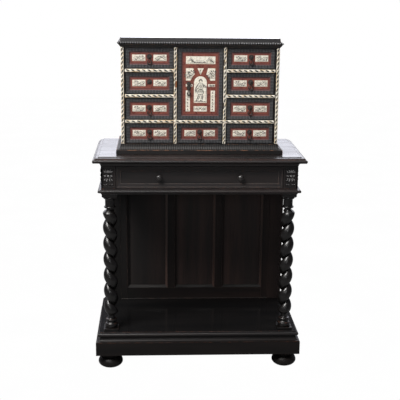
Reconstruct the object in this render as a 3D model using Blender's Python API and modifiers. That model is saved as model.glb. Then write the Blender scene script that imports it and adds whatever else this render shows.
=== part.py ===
"""Collectors cabinet on a stand: nine small drawers and a door over a table with twist columns.

Metres, +Z up. The front faces -Y. The origin is on the floor under the middle of the stand.
"""
import math

import bmesh
import bpy
from mathutils import Matrix, Vector

# Clearances
FIT_GAP = 0.0003  # between pieces that stand on, or against, each other
DRAWER_SIDE_GAP = 0.0008  # each side of a small drawer
DRAWER_TOP_GAP = 0.0012  # above a small drawer and above the door
STAND_DRAWER_GAP = 0.0015  # each side of the wide drawer's front, and above it
SWING_GAP = 0.0005  # between the swinging door and the upright that it closes against

# Plan of the stand
TOP_WIDTH = 0.900
TOP_DEPTH = 0.4656
BACK_INSET = 0.003  # the stand's flat back, inside the rear edge of the top
FRIEZE_INSET = 0.031  # the frieze's faces, inside the edge of the top
PLINTH_INSET = 0.002  # the plinth's faces, inside the edge of the top
BOARD_INSET = 0.009  # the widest part of the base board, inside the edge of the top
RAIL_REACH = 0.016  # the drawer rail's rounded edge, beyond the frieze's faces
POST_WIDTH = 0.064  # square of the corner blocks and of the columns' ends
COLUMN_INSET = 0.005  # axis of a column, inward of its corner block's axis
SIDE_INSET = 0.002  # the frieze's side boards, inside the faces of the corner blocks

# Heights of the stand, from the floor up
FOOT_HEIGHT = 0.069
PLINTH_HEIGHT = 0.0595
BOARD_HEIGHT = 0.0455
COLUMN_HEIGHT = 0.616
RAIL_HEIGHT = 0.025
FRIEZE_HEIGHT = 0.096
TOP_HEIGHT = 0.041

# Mouldings of the stand
TOP_EDGE_HEIGHT = 0.015  # upright edge of the top board
TOP_ROUND_HEIGHT = 0.011  # rounded upper edge
TOP_ROUND_REACH = 0.021
TOP_COVE_REACH = 0.022  # hollow under the edge
TOP_LIP = 0.010  # flat underside between the hollow and the edge
RAIL_FOOT_REACH = 0.014  # the rail's round edge, beyond its lower face
RAIL_ROUND_HEIGHT = 0.013
RAIL_FOOT_HEIGHT = 0.007
BOARD_COVE_HEIGHT = 0.020  # hollow at the foot of the base board
BOARD_COVE_REACH = 0.016
BOARD_SPREAD = 0.005  # the foot of that hollow, beyond the rounded edge
BOARD_NECK_HEIGHT = 0.0045
BOARD_ROUND_HEIGHT = 0.017
BOARD_ROUND_REACH = 0.008

# Feet and plinth
FOOT_RADIUS = 0.054
FOOT_TOP_RADIUS = 0.040
FOOT_BASE_RADIUS = 0.030
FOOT_MIDDLE = 0.023  # height of the widest ring
FOOT_SHOULDER = 0.045  # height of the bulge's flat shoulder
FOOT_SHOULDER_RADIUS = 0.043
FOOT_NECK_RADIUS = 0.033
FOOT_COLLAR = 0.008  # height of the collar over the neck
FOOT_INSET = 0.061  # axis of a foot, inside the faces of the plinth
PLINTH_WALL = 0.022
PLINTH_FLOOR = 0.014

# Twist columns
SQUARE_HEIGHT = 0.010  # base square
ABACUS_HEIGHT = 0.015
TORUS_RADIUS = 0.028  # largest ring of the base and of the capital
TORUS_EDGE = 0.0245  # its upper and lower edges
RING_RADIUS = 0.0245  # thin ring above the base and under the neck
RING_EDGE = 0.0220  # its upper and lower edges
NECK_RADIUS = 0.020
WAIST_RADIUS = 0.0145  # where the twist begins and ends
BASE_TURNING_HEIGHT = 0.055  # from the base square to the twist
CAPITAL_HEIGHT = 0.057  # from the twist to the abacus
CREST_RADIUS = 0.0308  # outside of the twisted strand
GROOVE_RADIUS = 0.0095  # bottom of the groove between its turns
LOBE_POWER = 0.7  # a smaller power makes the strand fuller and the groove narrower
TWIST_PITCH = 0.0714
TWIST_PHASES = {"left": -41.0, "right": -64.0}  # degrees that the strands have turned at their upper ends
TWIST_EASE = 0.018  # length over which the strand swells from the waist
TWIST_STEPS = 16  # sections in each turn
COLUMN_SIDES = 16

# Frieze and its drawer
FRIEZE_BOARD = 0.018  # thickness of the side and back boards
CARVING_MARGIN = 0.0125  # edge of a corner block left plain round its carving
CARVING_RISE = 0.003
STAND_DRAWER_SET = 0.001  # the front, behind the faces of the corner blocks
STAND_FRONT_THICKNESS = 0.022
STAND_FRONT_RIM = 0.006
STAND_FRONT_BEVEL = 0.015
STAND_FRONT_RECESS = 0.007
STAND_BOX_SIDE_GAP = 0.004
STAND_BOX_HEIGHT = 0.074
STAND_BOX_REAR_GAP = 0.0373  # behind the wide drawer's box, to the frieze's back board
STAND_BOX_WALL = 0.010
STAND_BOX_FLOOR = 0.008
KNOB_SPACING = 0.344
KNOB_RADIUS = 0.0135
KNOB_NECK = 0.006
KNOB_FLANGE = 0.0095
KNOB_LENGTH = 0.026
KNOB_HEAD = ((0.00, 1.00), (0.60, 0.96), (0.92, 0.82), (1.00, 0.62), (0.85, 0.45))  # of radius, length
KNOB_NECK_TOP = 0.0083  # above the drawer's field, as the next two are
KNOB_NECK_FOOT = 0.0036
KNOB_FLANGE_HEIGHT = 0.0021

# Panelled back
BACK_THICKNESS = 0.030
BACK_STILE = 0.102  # rear post and stile together
BACK_MUNTIN = 0.049
BACK_BOTTOM_RAIL = 0.0535
BACK_TOP_RAIL = 0.060
BACK_BEVEL = 0.008
PANEL_SHOULDER = 0.014  # front of the frame to the front of the panels
PANEL_REBATE = 0.008  # how far the panels reach behind the frame
PANEL_THICKNESS = 0.010
PANEL_COUNT = 3

# Plan of the cabinet
SIDE_OPENING = 0.2035  # width of a left or right drawer's opening
CENTRE_OPENING = 0.195
STRIP_WIDTH = 0.013  # bone strips, and the shelves and uprights behind them
SIDE_FILLET = 0.004  # black fillet between the outer strip and the drawers
CABINET_SETBACK = 0.0975  # front of the bone strips, behind the front edge of the top
CABINET_DEPTH = 0.330
STRIP_THICKNESS = 0.003  # bone in front of the case's edges
CABINET_BACK = 0.010

# Heights of the cabinet
ROW_HEIGHTS = (0.0895, 0.0930, 0.0950, 0.0885)  # openings of the small drawers, top row first
CABINET_BASE_HEIGHT = 0.042
CORNICE_HEIGHT = 0.039

# Mouldings of the cabinet
BASE_OVERHANG = 0.022
BASE_EDGE_HEIGHT = 0.019
BASE_WALL = 0.024
BASE_FLOOR = 0.014
CORNICE_LOWER_HEIGHT = 0.012
CORNICE_LOWER_REACH = 0.005
CORNICE_GROOVE = 0.0025
CORNICE_OVERHANG = 0.014
CORNICE_ROUND_HEIGHT = 0.014
CORNICE_NOSE_RISE = 0.0056  # the furthest part of that round, above its foot
CORNICE_TOP_REACH = 0.003

# Small drawers
FRONT_SET = 0.003  # drawer fronts and door, behind the edges of the case
FRONT_THICKNESS = 0.014
FRONT_RECESS = 0.004
FRAME_BEVEL = 0.003
FRONT_FRAME = 0.0175  # flat of the rippled frame on the drawers and the door
TRAY_INSET = 0.001  # tray sides, inside the ends of the front
TRAY_HEIGHT = 0.078
TRAY_WALL = 0.006
TRAY_FLOOR = 0.005
TRAY_REAR_GAP = 0.008
JOINT_OVERLAP = 0.002  # how far joined solids reach into each other

# Drop pulls
ROSETTE_RADIUS = 0.010
ROSETTE_THICKNESS = 0.002
ROSETTE_RISE = 0.006  # above the middle of the drawer front
EYE_RADIUS = 0.0042
EYE_WIRE = 0.0012
EYE_SINK = 0.0008  # how far the eye is let into its plate
PULL_WIRE = 0.0015
PULL_FOOT_WIRE = 0.0021  # the wire is thicker at the foot of the loop
PULL_BEND = 0.0034  # bend where the loop hangs in its eye
PULL_RADIUS = 0.0095
PULL_LENGTH = 0.030

# Door
DOOR_THICKNESS = 0.016
DOOR_HINGE_GAP = 0.0008
DOOR_PULL_RADIUS = 0.0062
DOOR_PULL_LENGTH = 0.025
DOOR_PULL_RISE = 0.130  # above the lower edge of the door
DOOR_PULL_X = -0.0475
ESCUTCHEON_WIDTH = 0.016
ESCUTCHEON_HEIGHT = 0.034
ESCUTCHEON_RISE = 0.008  # its middle, above the pull's eye
BARREL_RADIUS = 0.0025
BARREL_LENGTH = 0.025
BARREL_GAP = 0.0004
LEAF_THICKNESS = 0.0010
LEAF_WIDTH = 0.016
HINGE_INSET = 0.0605  # middle of a hinge, from the door's upper or lower edge

# Lock
LOCK_RISE = 0.1475  # above the lower edge of the door
LOCK_LENGTH = 0.040
LOCK_HEIGHT = 0.050
LOCK_THICKNESS = 0.010
BOLT_LENGTH = 0.026
BOLT_HEIGHT = 0.008
BOLT_THICKNESS = 0.004
STRIKE_DEPTH = 0.006
STRIKE_GAP = 0.0008

# Roundness
FOOT_STEPS = 22
KNOB_STEPS = 14
ROUND_STEPS = 12  # rosettes, eyes and hinge barrels
PULL_BEND_STEPS = 4
PULL_FOOT_STEPS = 9
ARC_POINTS = 3
STEP_RISE = 0.0002  # least rise from one section of a moulding to the next
CUT_OVERRUN = 0.002  # how far a cutter runs past the face that it opens
SMOOTH_ANGLE = 50.0  # degrees; a column's sharper edges stay sharp

# Levels
PLINTH_Z = FOOT_HEIGHT
BOARD_Z = PLINTH_Z + PLINTH_HEIGHT
COLUMN_Z = BOARD_Z + BOARD_HEIGHT
RAIL_Z = COLUMN_Z + COLUMN_HEIGHT
FRIEZE_Z = RAIL_Z + RAIL_HEIGHT
TOP_Z = FRIEZE_Z + FRIEZE_HEIGHT
CABINET_Z = TOP_Z + TOP_HEIGHT
CASE_Z = CABINET_Z + CABINET_BASE_HEIGHT
ROWS = len(ROW_HEIGHTS)
CASE_HEIGHT = sum(ROW_HEIGHTS) + (ROWS - 1) * STRIP_WIDTH
CORNICE_Z = CASE_Z + CASE_HEIGHT

# Places in plan
TOP_X = TOP_WIDTH / 2
FRONT_Y = -TOP_DEPTH / 2
BACK_Y = TOP_DEPTH / 2 - BACK_INSET
FRIEZE_X = TOP_X - FRIEZE_INSET
FRIEZE_Y = FRONT_Y + FRIEZE_INSET
POST_X = FRIEZE_X - POST_WIDTH / 2
POST_Y = FRIEZE_Y + POST_WIDTH / 2
COLUMN_X = POST_X - COLUMN_INSET
SIDE_X = FRIEZE_X - SIDE_INSET
CASE_X = CENTRE_OPENING / 2 + STRIP_WIDTH + SIDE_OPENING + SIDE_FILLET + STRIP_WIDTH
CASE_FRONT = FRONT_Y + CABINET_SETBACK + STRIP_THICKNESS
CASE_BACK = FRONT_Y + CABINET_SETBACK + CABINET_DEPTH
CASE_INNER_BACK = CASE_BACK - CABINET_BACK - FIT_GAP
INNER_X = CENTRE_OPENING / 2  # inner faces of the uprights
OUTER_X = INNER_X + STRIP_WIDTH  # outer faces of the uprights
SIDE_CENTRE_X = OUTER_X + SIDE_OPENING / 2  # middle of a side drawer
FRONTS_Y = CASE_FRONT + FRONT_SET  # faces of the drawer fronts and the door
FIELD_Y = FRONTS_Y + FRONT_RECESS  # sunk fields of those fronts
HINGE_X = INNER_X - DOOR_HINGE_GAP / 2
HINGE_Y = CASE_FRONT
DOOR_Z = CASE_Z + ROW_HEIGHTS[-1] + STRIP_WIDTH
DOOR_HEIGHT = CORNICE_Z - DOOR_Z - FIT_GAP - DRAWER_TOP_GAP


def new_collection(name):
    made = bpy.data.collections.new(name)
    bpy.context.scene.collection.children.link(made)
    return made


def new_material(name, colour, roughness, metallic=0.0):
    made = bpy.data.materials.new(name)
    made.use_nodes = True
    shader = made.node_tree.nodes["Principled BSDF"]
    shader.inputs["Base Color"].default_value = (*colour, 1.0)
    shader.inputs["Roughness"].default_value = roughness
    shader.inputs["Metallic"].default_value = metallic
    return made


for leftover in list(bpy.data.objects):
    bpy.data.objects.remove(leftover, do_unlink=True)
for leftover in list(bpy.data.collections):
    bpy.data.collections.remove(leftover)

PARTS = new_collection("collectors_cabinet")
HELPERS = new_collection("collectors_cabinet_cutters")

STAND_WOOD = new_material("stand_wood", (0.012, 0.009, 0.008), 0.25)
EBONY = new_material("ebony", (0.030, 0.031, 0.034), 0.35)
INNER_WOOD = new_material("inner_wood", (0.150, 0.080, 0.040), 0.60)
IRON = new_material("iron", (0.035, 0.028, 0.024), 0.45, 0.9)


def as_mesh(shape, name):
    """Turns a bmesh into a mesh whose faces all point out."""
    bmesh.ops.recalc_face_normals(shape, faces=shape.faces)
    mesh = bpy.data.meshes.new(name)
    shape.to_mesh(mesh)
    shape.free()
    return mesh


def place(name, data, material, location=(0.0, 0.0, 0.0), parent=None):
    """Adds a piece at a place in the world, under a parent that is moved but not turned."""
    piece = bpy.data.objects.new(name, data)
    PARTS.objects.link(piece)
    data.materials.clear()
    data.materials.append(material)
    piece.parent = parent
    piece.location = Vector(location) - (parent.location if parent else Vector())
    return piece


def carrier(name, location):
    """An empty on a joint's axis, which carries what moves with it."""
    made = bpy.data.objects.new(name, None)
    PARTS.objects.link(made)
    made.empty_display_size = 0.02
    made.location = location
    return made


def helper(name, mesh, location=(0.0, 0.0, 0.0)):
    """A solid that only cuts, or joins onto, another."""
    made = bpy.data.objects.new(name, mesh)
    HELPERS.objects.link(made)
    made.location = location
    made.hide_render = True
    made.display_type = "WIRE"
    return made


def combine(piece, other, operation):
    step = piece.modifiers.new(other.name, "BOOLEAN")
    step.operation = operation
    step.solver = "EXACT"
    step.object = other


def baked(piece, name, origin=(0.0, 0.0, 0.0)):
    """The finished shape of a helper, about an origin. It and the helpers that it used are removed."""
    bpy.context.view_layer.update()
    graph = bpy.context.evaluated_depsgraph_get()
    mesh = bpy.data.meshes.new_from_object(piece.evaluated_get(graph))
    mesh.transform(Matrix.Translation(-Vector(origin)) @ piece.matrix_world)
    mesh.name = name
    for used in [step.object for step in piece.modifiers] + [piece]:
        bpy.data.objects.remove(used, do_unlink=True)
    return mesh


def box_mesh(name, size):
    shape = bmesh.new()
    bmesh.ops.create_cube(shape, size=1.0, matrix=Matrix.Diagonal((*size, 1.0)))
    return as_mesh(shape, name)


def between(low, high):
    """Size and middle of the box between two corners."""
    size = [top - bottom for bottom, top in zip(low, high)]
    middle = [(top + bottom) / 2 for bottom, top in zip(low, high)]
    return size, middle


def box(name, low, high, material, parent=None):
    size, middle = between(low, high)
    return place(name, box_mesh(name, size), material, middle, parent)


def box_helper(name, low, high):
    size, middle = between(low, high)
    return helper(name, box_mesh(name, size), middle)


def facing(shape, direction):
    """The face of a box that points in a direction."""
    shape.normal_update()
    return max(shape.faces, key=lambda face: face.normal.dot(Vector(direction)))


def inset_face(shape, direction, margin, slope, depth):
    """Leaves a flat margin on one face of a box, then a slope down (or up) to a level field."""
    face = facing(shape, direction)
    bmesh.ops.inset_region(shape, faces=[face], thickness=margin, use_even_offset=True)
    bmesh.ops.inset_region(shape, faces=[face], thickness=slope, depth=depth, use_even_offset=True)


def framed_mesh(name, size, margin, slope, depth):
    """A board whose front has a flat rim round a sunk field."""
    shape = bmesh.new()
    bmesh.ops.create_cube(shape, size=1.0, matrix=Matrix.Diagonal((*size, 1.0)))
    inset_face(shape, (0, -1, 0), margin, slope, -depth)
    return as_mesh(shape, name)


def tray_mesh(name, size, wall, floor):
    """A box that is open at the top."""
    shape = bmesh.new()
    bmesh.ops.create_cube(shape, size=1.0, matrix=Matrix.Diagonal((*size, 1.0)))
    face = facing(shape, (0, 0, 1))
    bmesh.ops.inset_region(shape, faces=[face], thickness=wall, use_even_offset=True)
    sunk = bmesh.ops.extrude_face_region(shape, geom=[face])["geom"]
    corners = [item for item in sunk if isinstance(item, bmesh.types.BMVert)]
    bmesh.ops.translate(shape, verts=corners, vec=(0, 0, floor - size[2]))
    bmesh.ops.delete(shape, geom=[face], context="FACES")
    return as_mesh(shape, name)


def loft_mesh(name, loops):
    """A closed skin through rings of points, all with the same count."""
    shape = bmesh.new()
    rings = [[shape.verts.new(point) for point in loop] for loop in loops]
    for lower, upper in zip(rings, rings[1:]):
        for i in range(len(lower)):
            j = (i + 1) % len(lower)
            shape.faces.new((lower[i], lower[j], upper[j], upper[i]))
    shape.faces.new(rings[0][::-1])
    shape.faces.new(rings[-1])
    return as_mesh(shape, name)


def curved(start, end, upright_start=True):
    """Points of a quarter ellipse, upright at one end and level at the other."""
    centre = (end[0], start[1]) if upright_start else (start[0], end[1])
    points = []
    for i in range(ARC_POINTS + 1):
        angle = math.pi / 2 * i / ARC_POINTS
        near, far = math.cos(angle), math.sin(angle)
        from_start = [start[k] - centre[k] for k in range(2)]
        from_end = [end[k] - centre[k] for k in range(2)]
        points.append(tuple(centre[k] + near * from_start[k] + far * from_end[k] for k in range(2)))
    return points


def moulded_mesh(name, profile, half_width, front, back, bottom):
    """A board with moulded front and sides. The profile is (reach, height), bottom first."""
    loops = []
    level = -STEP_RISE
    for reach, height in profile:
        level = max(height, level + STEP_RISE)
        x, y, z = half_width + reach, front - reach, bottom + level
        loops.append([(-x, y, z), (x, y, z), (x, back, z), (-x, back, z)])
    return loft_mesh(name, loops)


def turned_piece(name, profile, steps, material, location, parent=None):
    """A profile of (radius, height), top first, turned about its upright axis."""
    shape = bmesh.new()
    points = [shape.verts.new((radius, 0, height)) for radius, height in profile]
    for upper, lower in zip(points, points[1:]):
        shape.edges.new((upper, lower))
    mesh = bpy.data.meshes.new(name)
    shape.to_mesh(mesh)
    shape.free()
    piece = place(name, mesh, material, location, parent)
    turn = piece.modifiers.new("turn", "SCREW")
    turn.axis = "Z"
    turn.steps = steps
    turn.render_steps = steps
    turn.use_merge_vertices = True
    turn.merge_threshold = 0.00001
    turn.use_smooth_shade = True
    return piece


def make_feet():
    bulge_points = 6
    upper = math.acos(FOOT_SHOULDER_RADIUS / FOOT_RADIUS)
    lower = -math.acos(FOOT_BASE_RADIUS / FOOT_RADIUS)
    rise = (FOOT_SHOULDER - FOOT_MIDDLE) / math.sin(upper)
    fall = FOOT_MIDDLE / math.sin(-lower)
    collar = FOOT_HEIGHT - FOOT_COLLAR
    profile = [(0, FOOT_HEIGHT - FIT_GAP), (FOOT_TOP_RADIUS, FOOT_HEIGHT - FIT_GAP)]
    profile += reversed(curved((FOOT_NECK_RADIUS, FOOT_SHOULDER), (FOOT_TOP_RADIUS, collar)))
    for i in range(bulge_points + 1):
        angle = upper + (lower - upper) * i / bulge_points
        reach = rise if angle > 0 else fall
        profile.append((FOOT_RADIUS * math.cos(angle), FOOT_MIDDLE + reach * math.sin(angle)))
    profile[-1] = (FOOT_BASE_RADIUS, 0)
    profile.append((0, 0))
    x = TOP_X - PLINTH_INSET - FOOT_INSET
    rows = {"front": FRONT_Y + PLINTH_INSET + FOOT_INSET, "rear": BACK_Y - FOOT_INSET}
    for row, y in rows.items():
        for side, sign in (("left", -1), ("right", 1)):
            turned_piece(f"foot_{row}_{side}", profile, FOOT_STEPS, STAND_WOOD, (sign * x, y, 0))


def make_base():
    x, front = TOP_X - PLINTH_INSET, FRONT_Y + PLINTH_INSET
    size, middle = between((-x, front, PLINTH_Z), (x, BACK_Y, BOARD_Z - FIT_GAP))
    place("plinth", tray_mesh("plinth", size, PLINTH_WALL, PLINTH_FLOOR), STAND_WOOD, middle)

    neck = BOARD_SPREAD - BOARD_COVE_REACH
    round_foot = BOARD_COVE_HEIGHT + BOARD_NECK_HEIGHT
    round_top = round_foot + BOARD_ROUND_HEIGHT
    round_middle = (round_foot + round_top) / 2
    profile = curved((BOARD_SPREAD, 0), (neck, BOARD_COVE_HEIGHT), upright_start=False)
    profile += curved((neck, round_foot), (0, round_middle), upright_start=False)
    profile += curved((0, round_middle), (-BOARD_ROUND_REACH, round_top))[1:]
    profile.append((-BOARD_ROUND_REACH, BOARD_HEIGHT - FIT_GAP))
    mesh = moulded_mesh("base_board", profile, TOP_X - BOARD_INSET, FRONT_Y + BOARD_INSET, BACK_Y, BOARD_Z)
    place("base_board", mesh, STAND_WOOD)


def column_angles(turn):
    """Directions of the points of a ring, of which the first lies at the angle turn."""
    return [turn + 2 * math.pi * i / COLUMN_SIDES for i in range(COLUMN_SIDES)]


def round_loop(radius, height, turn):
    return [(radius * math.cos(angle), radius * math.sin(angle), height) for angle in column_angles(turn)]


def square_loop(half, height, turn):
    """A square with as many points as the round rings have, turned by whole steps to lie near them."""
    step = 2 * math.pi / COLUMN_SIDES
    loop = []
    for angle in column_angles(round(turn / step) * step):
        reach = half / max(abs(math.cos(angle)), abs(math.sin(angle)))
        loop.append((reach * math.cos(angle), reach * math.sin(angle), height))
    return loop


def strand_loop(height, turn, swell):
    """A ring of the strand: its crest lies at the angle turn and its groove opposite."""
    loop = []
    for angle in column_angles(turn):
        lobe = abs(math.cos((angle - turn) / 2)) ** LOBE_POWER
        full = GROOVE_RADIUS + (CREST_RADIUS - GROOVE_RADIUS) * lobe
        radius = WAIST_RADIUS + (full - WAIST_RADIUS) * swell
        loop.append((radius * math.cos(angle), radius * math.sin(angle), height))
    return loop


def column_loops(phase):
    """Rings of the left column from its base square up. The right one is its mirror image."""
    twist_foot = SQUARE_HEIGHT + BASE_TURNING_HEIGHT
    twist_top = COLUMN_HEIGHT - ABACUS_HEIGHT - CAPITAL_HEIGHT
    half = POST_WIDTH / 2

    def turn_at(height):
        return math.pi + math.radians(phase) + 2 * math.pi * (twist_top - height) / TWIST_PITCH

    turn = turn_at(twist_foot)
    loops = [square_loop(half, 0, turn), square_loop(half, SQUARE_HEIGHT, turn)]
    base = [  # part of the turned base's height, radius
        (0.00, TORUS_EDGE),
        (0.09, TORUS_RADIUS),
        (0.26, TORUS_RADIUS),
        (0.35, TORUS_EDGE),
        (0.40, NECK_RADIUS),
        (0.50, NECK_RADIUS),
        (0.54, RING_EDGE),
        (0.62, RING_RADIUS),
        (0.70, RING_EDGE),
        (0.76, WAIST_RADIUS),
        (1.00, WAIST_RADIUS),
    ]
    loops += [round_loop(r, SQUARE_HEIGHT + part * BASE_TURNING_HEIGHT, turn) for part, r in base]
    length = twist_top - twist_foot
    count = round(TWIST_STEPS * length / TWIST_PITCH)
    for i in range(1, count):
        height = twist_foot + length * i / count
        ease = min(1.0, (height - twist_foot) / TWIST_EASE, (twist_top - height) / TWIST_EASE)
        loops.append(strand_loop(height, turn_at(height), math.sin(ease * math.pi / 2)))
    turn = turn_at(twist_top)
    capital = [  # part of the capital's height, radius
        (0.00, WAIST_RADIUS),
        (0.08, WAIST_RADIUS),
        (0.11, RING_EDGE),
        (0.18, RING_RADIUS),
        (0.26, RING_EDGE),
        (0.30, NECK_RADIUS),
        (0.80, NECK_RADIUS),
        (0.84, TORUS_EDGE),
        (0.92, TORUS_RADIUS),
        (1.00, TORUS_EDGE),
    ]
    loops += [round_loop(r, twist_top + part * CAPITAL_HEIGHT, turn) for part, r in capital]
    loops.append(square_loop(half, COLUMN_HEIGHT - ABACUS_HEIGHT, turn))
    loops.append(square_loop(half, COLUMN_HEIGHT - FIT_GAP, turn))
    return loops


def make_columns():
    for side, hand in (("left", -1), ("right", 1)):
        name = f"column_{side}"
        loops = [[(-hand * x, y, z) for x, y, z in loop] for loop in column_loops(TWIST_PHASES[side])]
        column = place(name, loft_mesh(name, loops), STAND_WOOD, (hand * COLUMN_X, POST_Y, COLUMN_Z))
        column.data.shade_smooth()
        column.data.set_sharp_from_angle(angle=math.radians(SMOOTH_ANGLE))


def make_back():
    front = BACK_Y - BACK_THICKNESS
    top = RAIL_Z - FIT_GAP
    frame = box("back_frame", (-SIDE_X, front, COLUMN_Z), (SIDE_X, BACK_Y, top), STAND_WOOD)
    free_width = 2 * (SIDE_X - BACK_STILE) - (PANEL_COUNT - 1) * BACK_MUNTIN
    half = free_width / PANEL_COUNT / 2
    low, high = COLUMN_Z + BACK_BOTTOM_RAIL, RAIL_Z - BACK_TOP_RAIL
    sections = [
        (front - CUT_OVERRUN, BACK_BEVEL),
        (front, BACK_BEVEL),
        (front + BACK_BEVEL, 0),
        (front + PANEL_SHOULDER, 0),
        (front + PANEL_SHOULDER, PANEL_REBATE),
        (BACK_Y + CUT_OVERRUN, PANEL_REBATE),
    ]
    for i, name in enumerate(("left", "centre", "right")):
        middle = (i - (PANEL_COUNT - 1) / 2) * (2 * half + BACK_MUNTIN)
        loops = []
        for y, spread in sections:
            x, bottom, upper = half + spread, low - spread, high + spread
            loops.append([(-x, y, bottom), (x, y, bottom), (x, y, upper), (-x, y, upper)])
        cutter = helper(f"back_opening_{name}", loft_mesh(f"back_opening_{name}", loops), (middle, 0, 0))
        combine(frame, cutter, "DIFFERENCE")
        x, spread = half + PANEL_REBATE - FIT_GAP, PANEL_REBATE - FIT_GAP
        y = front + PANEL_SHOULDER + FIT_GAP
        corner = (middle - x, y, low - spread)
        box(f"back_panel_{name}", corner, (middle + x, y + PANEL_THICKNESS, high + spread), STAND_WOOD)


def make_rail():
    round_foot, round_top = RAIL_FOOT_HEIGHT, RAIL_FOOT_HEIGHT + RAIL_ROUND_HEIGHT
    round_middle = (round_foot + round_top) / 2
    nose = RAIL_ROUND_HEIGHT / 2
    profile = curved((-RAIL_FOOT_REACH, 0), (-nose, round_foot))
    profile += curved((-nose, round_foot), (0, round_middle), upright_start=False)[1:]
    profile += curved((0, round_middle), (-nose, round_top))[1:]
    profile += [(-RAIL_FOOT_REACH, round_top), (-RAIL_FOOT_REACH, RAIL_HEIGHT - FIT_GAP)]
    half, front = FRIEZE_X + RAIL_REACH, FRIEZE_Y - RAIL_REACH
    mesh = moulded_mesh("drawer_rail", profile, half, front, BACK_Y, RAIL_Z)
    place("drawer_rail", mesh, STAND_WOOD)


def make_frieze():
    top = TOP_Z - FIT_GAP
    block_back = FRIEZE_Y + POST_WIDTH
    back_front = BACK_Y - FRIEZE_BOARD
    for side, sign in (("left", -1), ("right", 1)):
        shape = bmesh.new()
        size = (POST_WIDTH, POST_WIDTH, FRIEZE_HEIGHT - FIT_GAP, 1.0)
        bmesh.ops.create_cube(shape, size=1.0, matrix=Matrix.Diagonal(size))
        for direction in ((0, -1, 0), (sign, 0, 0)):
            inset_face(shape, direction, CARVING_MARGIN, CARVING_RISE, CARVING_RISE)
        name = f"frieze_block_{side}"
        place(name, as_mesh(shape, name), STAND_WOOD, (sign * POST_X, POST_Y, (FRIEZE_Z + top) / 2))
        inner, outer = sorted((sign * (SIDE_X - FRIEZE_BOARD), sign * SIDE_X))
        low = (inner, block_back + FIT_GAP, FRIEZE_Z)
        box(f"frieze_side_{side}", low, (outer, back_front - FIT_GAP, top), STAND_WOOD)
    box("frieze_back", (-SIDE_X, back_front, FRIEZE_Z), (SIDE_X, BACK_Y, top), STAND_WOOD)


def make_top():
    cove_foot = -TOP_LIP - TOP_COVE_REACH
    edge_foot = TOP_HEIGHT - TOP_ROUND_HEIGHT - TOP_EDGE_HEIGHT
    edge_top = TOP_HEIGHT - TOP_ROUND_HEIGHT
    profile = curved((cove_foot, 0), (-TOP_LIP, edge_foot))
    profile += [(0, edge_foot)]
    profile += curved((0, edge_top), (-TOP_ROUND_REACH, TOP_HEIGHT - FIT_GAP))
    mesh = moulded_mesh("stand_top", profile, TOP_X, FRONT_Y, TOP_DEPTH / 2, TOP_Z)
    place("stand_top", mesh, STAND_WOOD)


def make_stand_drawer():
    opening = FRIEZE_X - POST_WIDTH
    front = FRIEZE_Y + STAND_DRAWER_SET
    slide = carrier("stand_drawer_slide", (0, front, FRIEZE_Z))
    x = opening - STAND_DRAWER_GAP
    top = TOP_Z - FIT_GAP - STAND_DRAWER_GAP
    size, middle = between((-x, front, FRIEZE_Z), (x, front + STAND_FRONT_THICKNESS, top))
    mesh = framed_mesh("stand_drawer_front", size, STAND_FRONT_RIM, STAND_FRONT_BEVEL, STAND_FRONT_RECESS)
    place("stand_drawer_front", mesh, STAND_WOOD, middle, slide)

    x = opening - STAND_BOX_SIDE_GAP
    box_front = front + STAND_FRONT_THICKNESS + FIT_GAP
    box_back = BACK_Y - FRIEZE_BOARD - STAND_BOX_REAR_GAP
    size, box_middle = between((-x, box_front, FRIEZE_Z), (x, box_back, FRIEZE_Z + STAND_BOX_HEIGHT))
    mesh = tray_mesh("stand_drawer_box", size, STAND_BOX_WALL, STAND_BOX_FLOOR)
    place("stand_drawer_box", mesh, INNER_WOOD, box_middle, slide)

    profile = [(KNOB_RADIUS * across, KNOB_LENGTH * along) for across, along in KNOB_HEAD]
    profile += [(KNOB_NECK, KNOB_NECK_TOP), (KNOB_NECK, KNOB_NECK_FOOT)]
    profile += [(KNOB_FLANGE, KNOB_FLANGE_HEIGHT), (KNOB_FLANGE, 0), (0, 0)]
    seat = front + STAND_FRONT_RECESS - FIT_GAP
    for side, sign in (("left", -1), ("right", 1)):
        place_at = (sign * KNOB_SPACING / 2, seat, middle[2])
        knob = turned_piece(f"stand_knob_{side}", profile, KNOB_STEPS, STAND_WOOD, place_at, slide)
        knob.rotation_euler = (math.radians(90), 0, 0)


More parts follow.
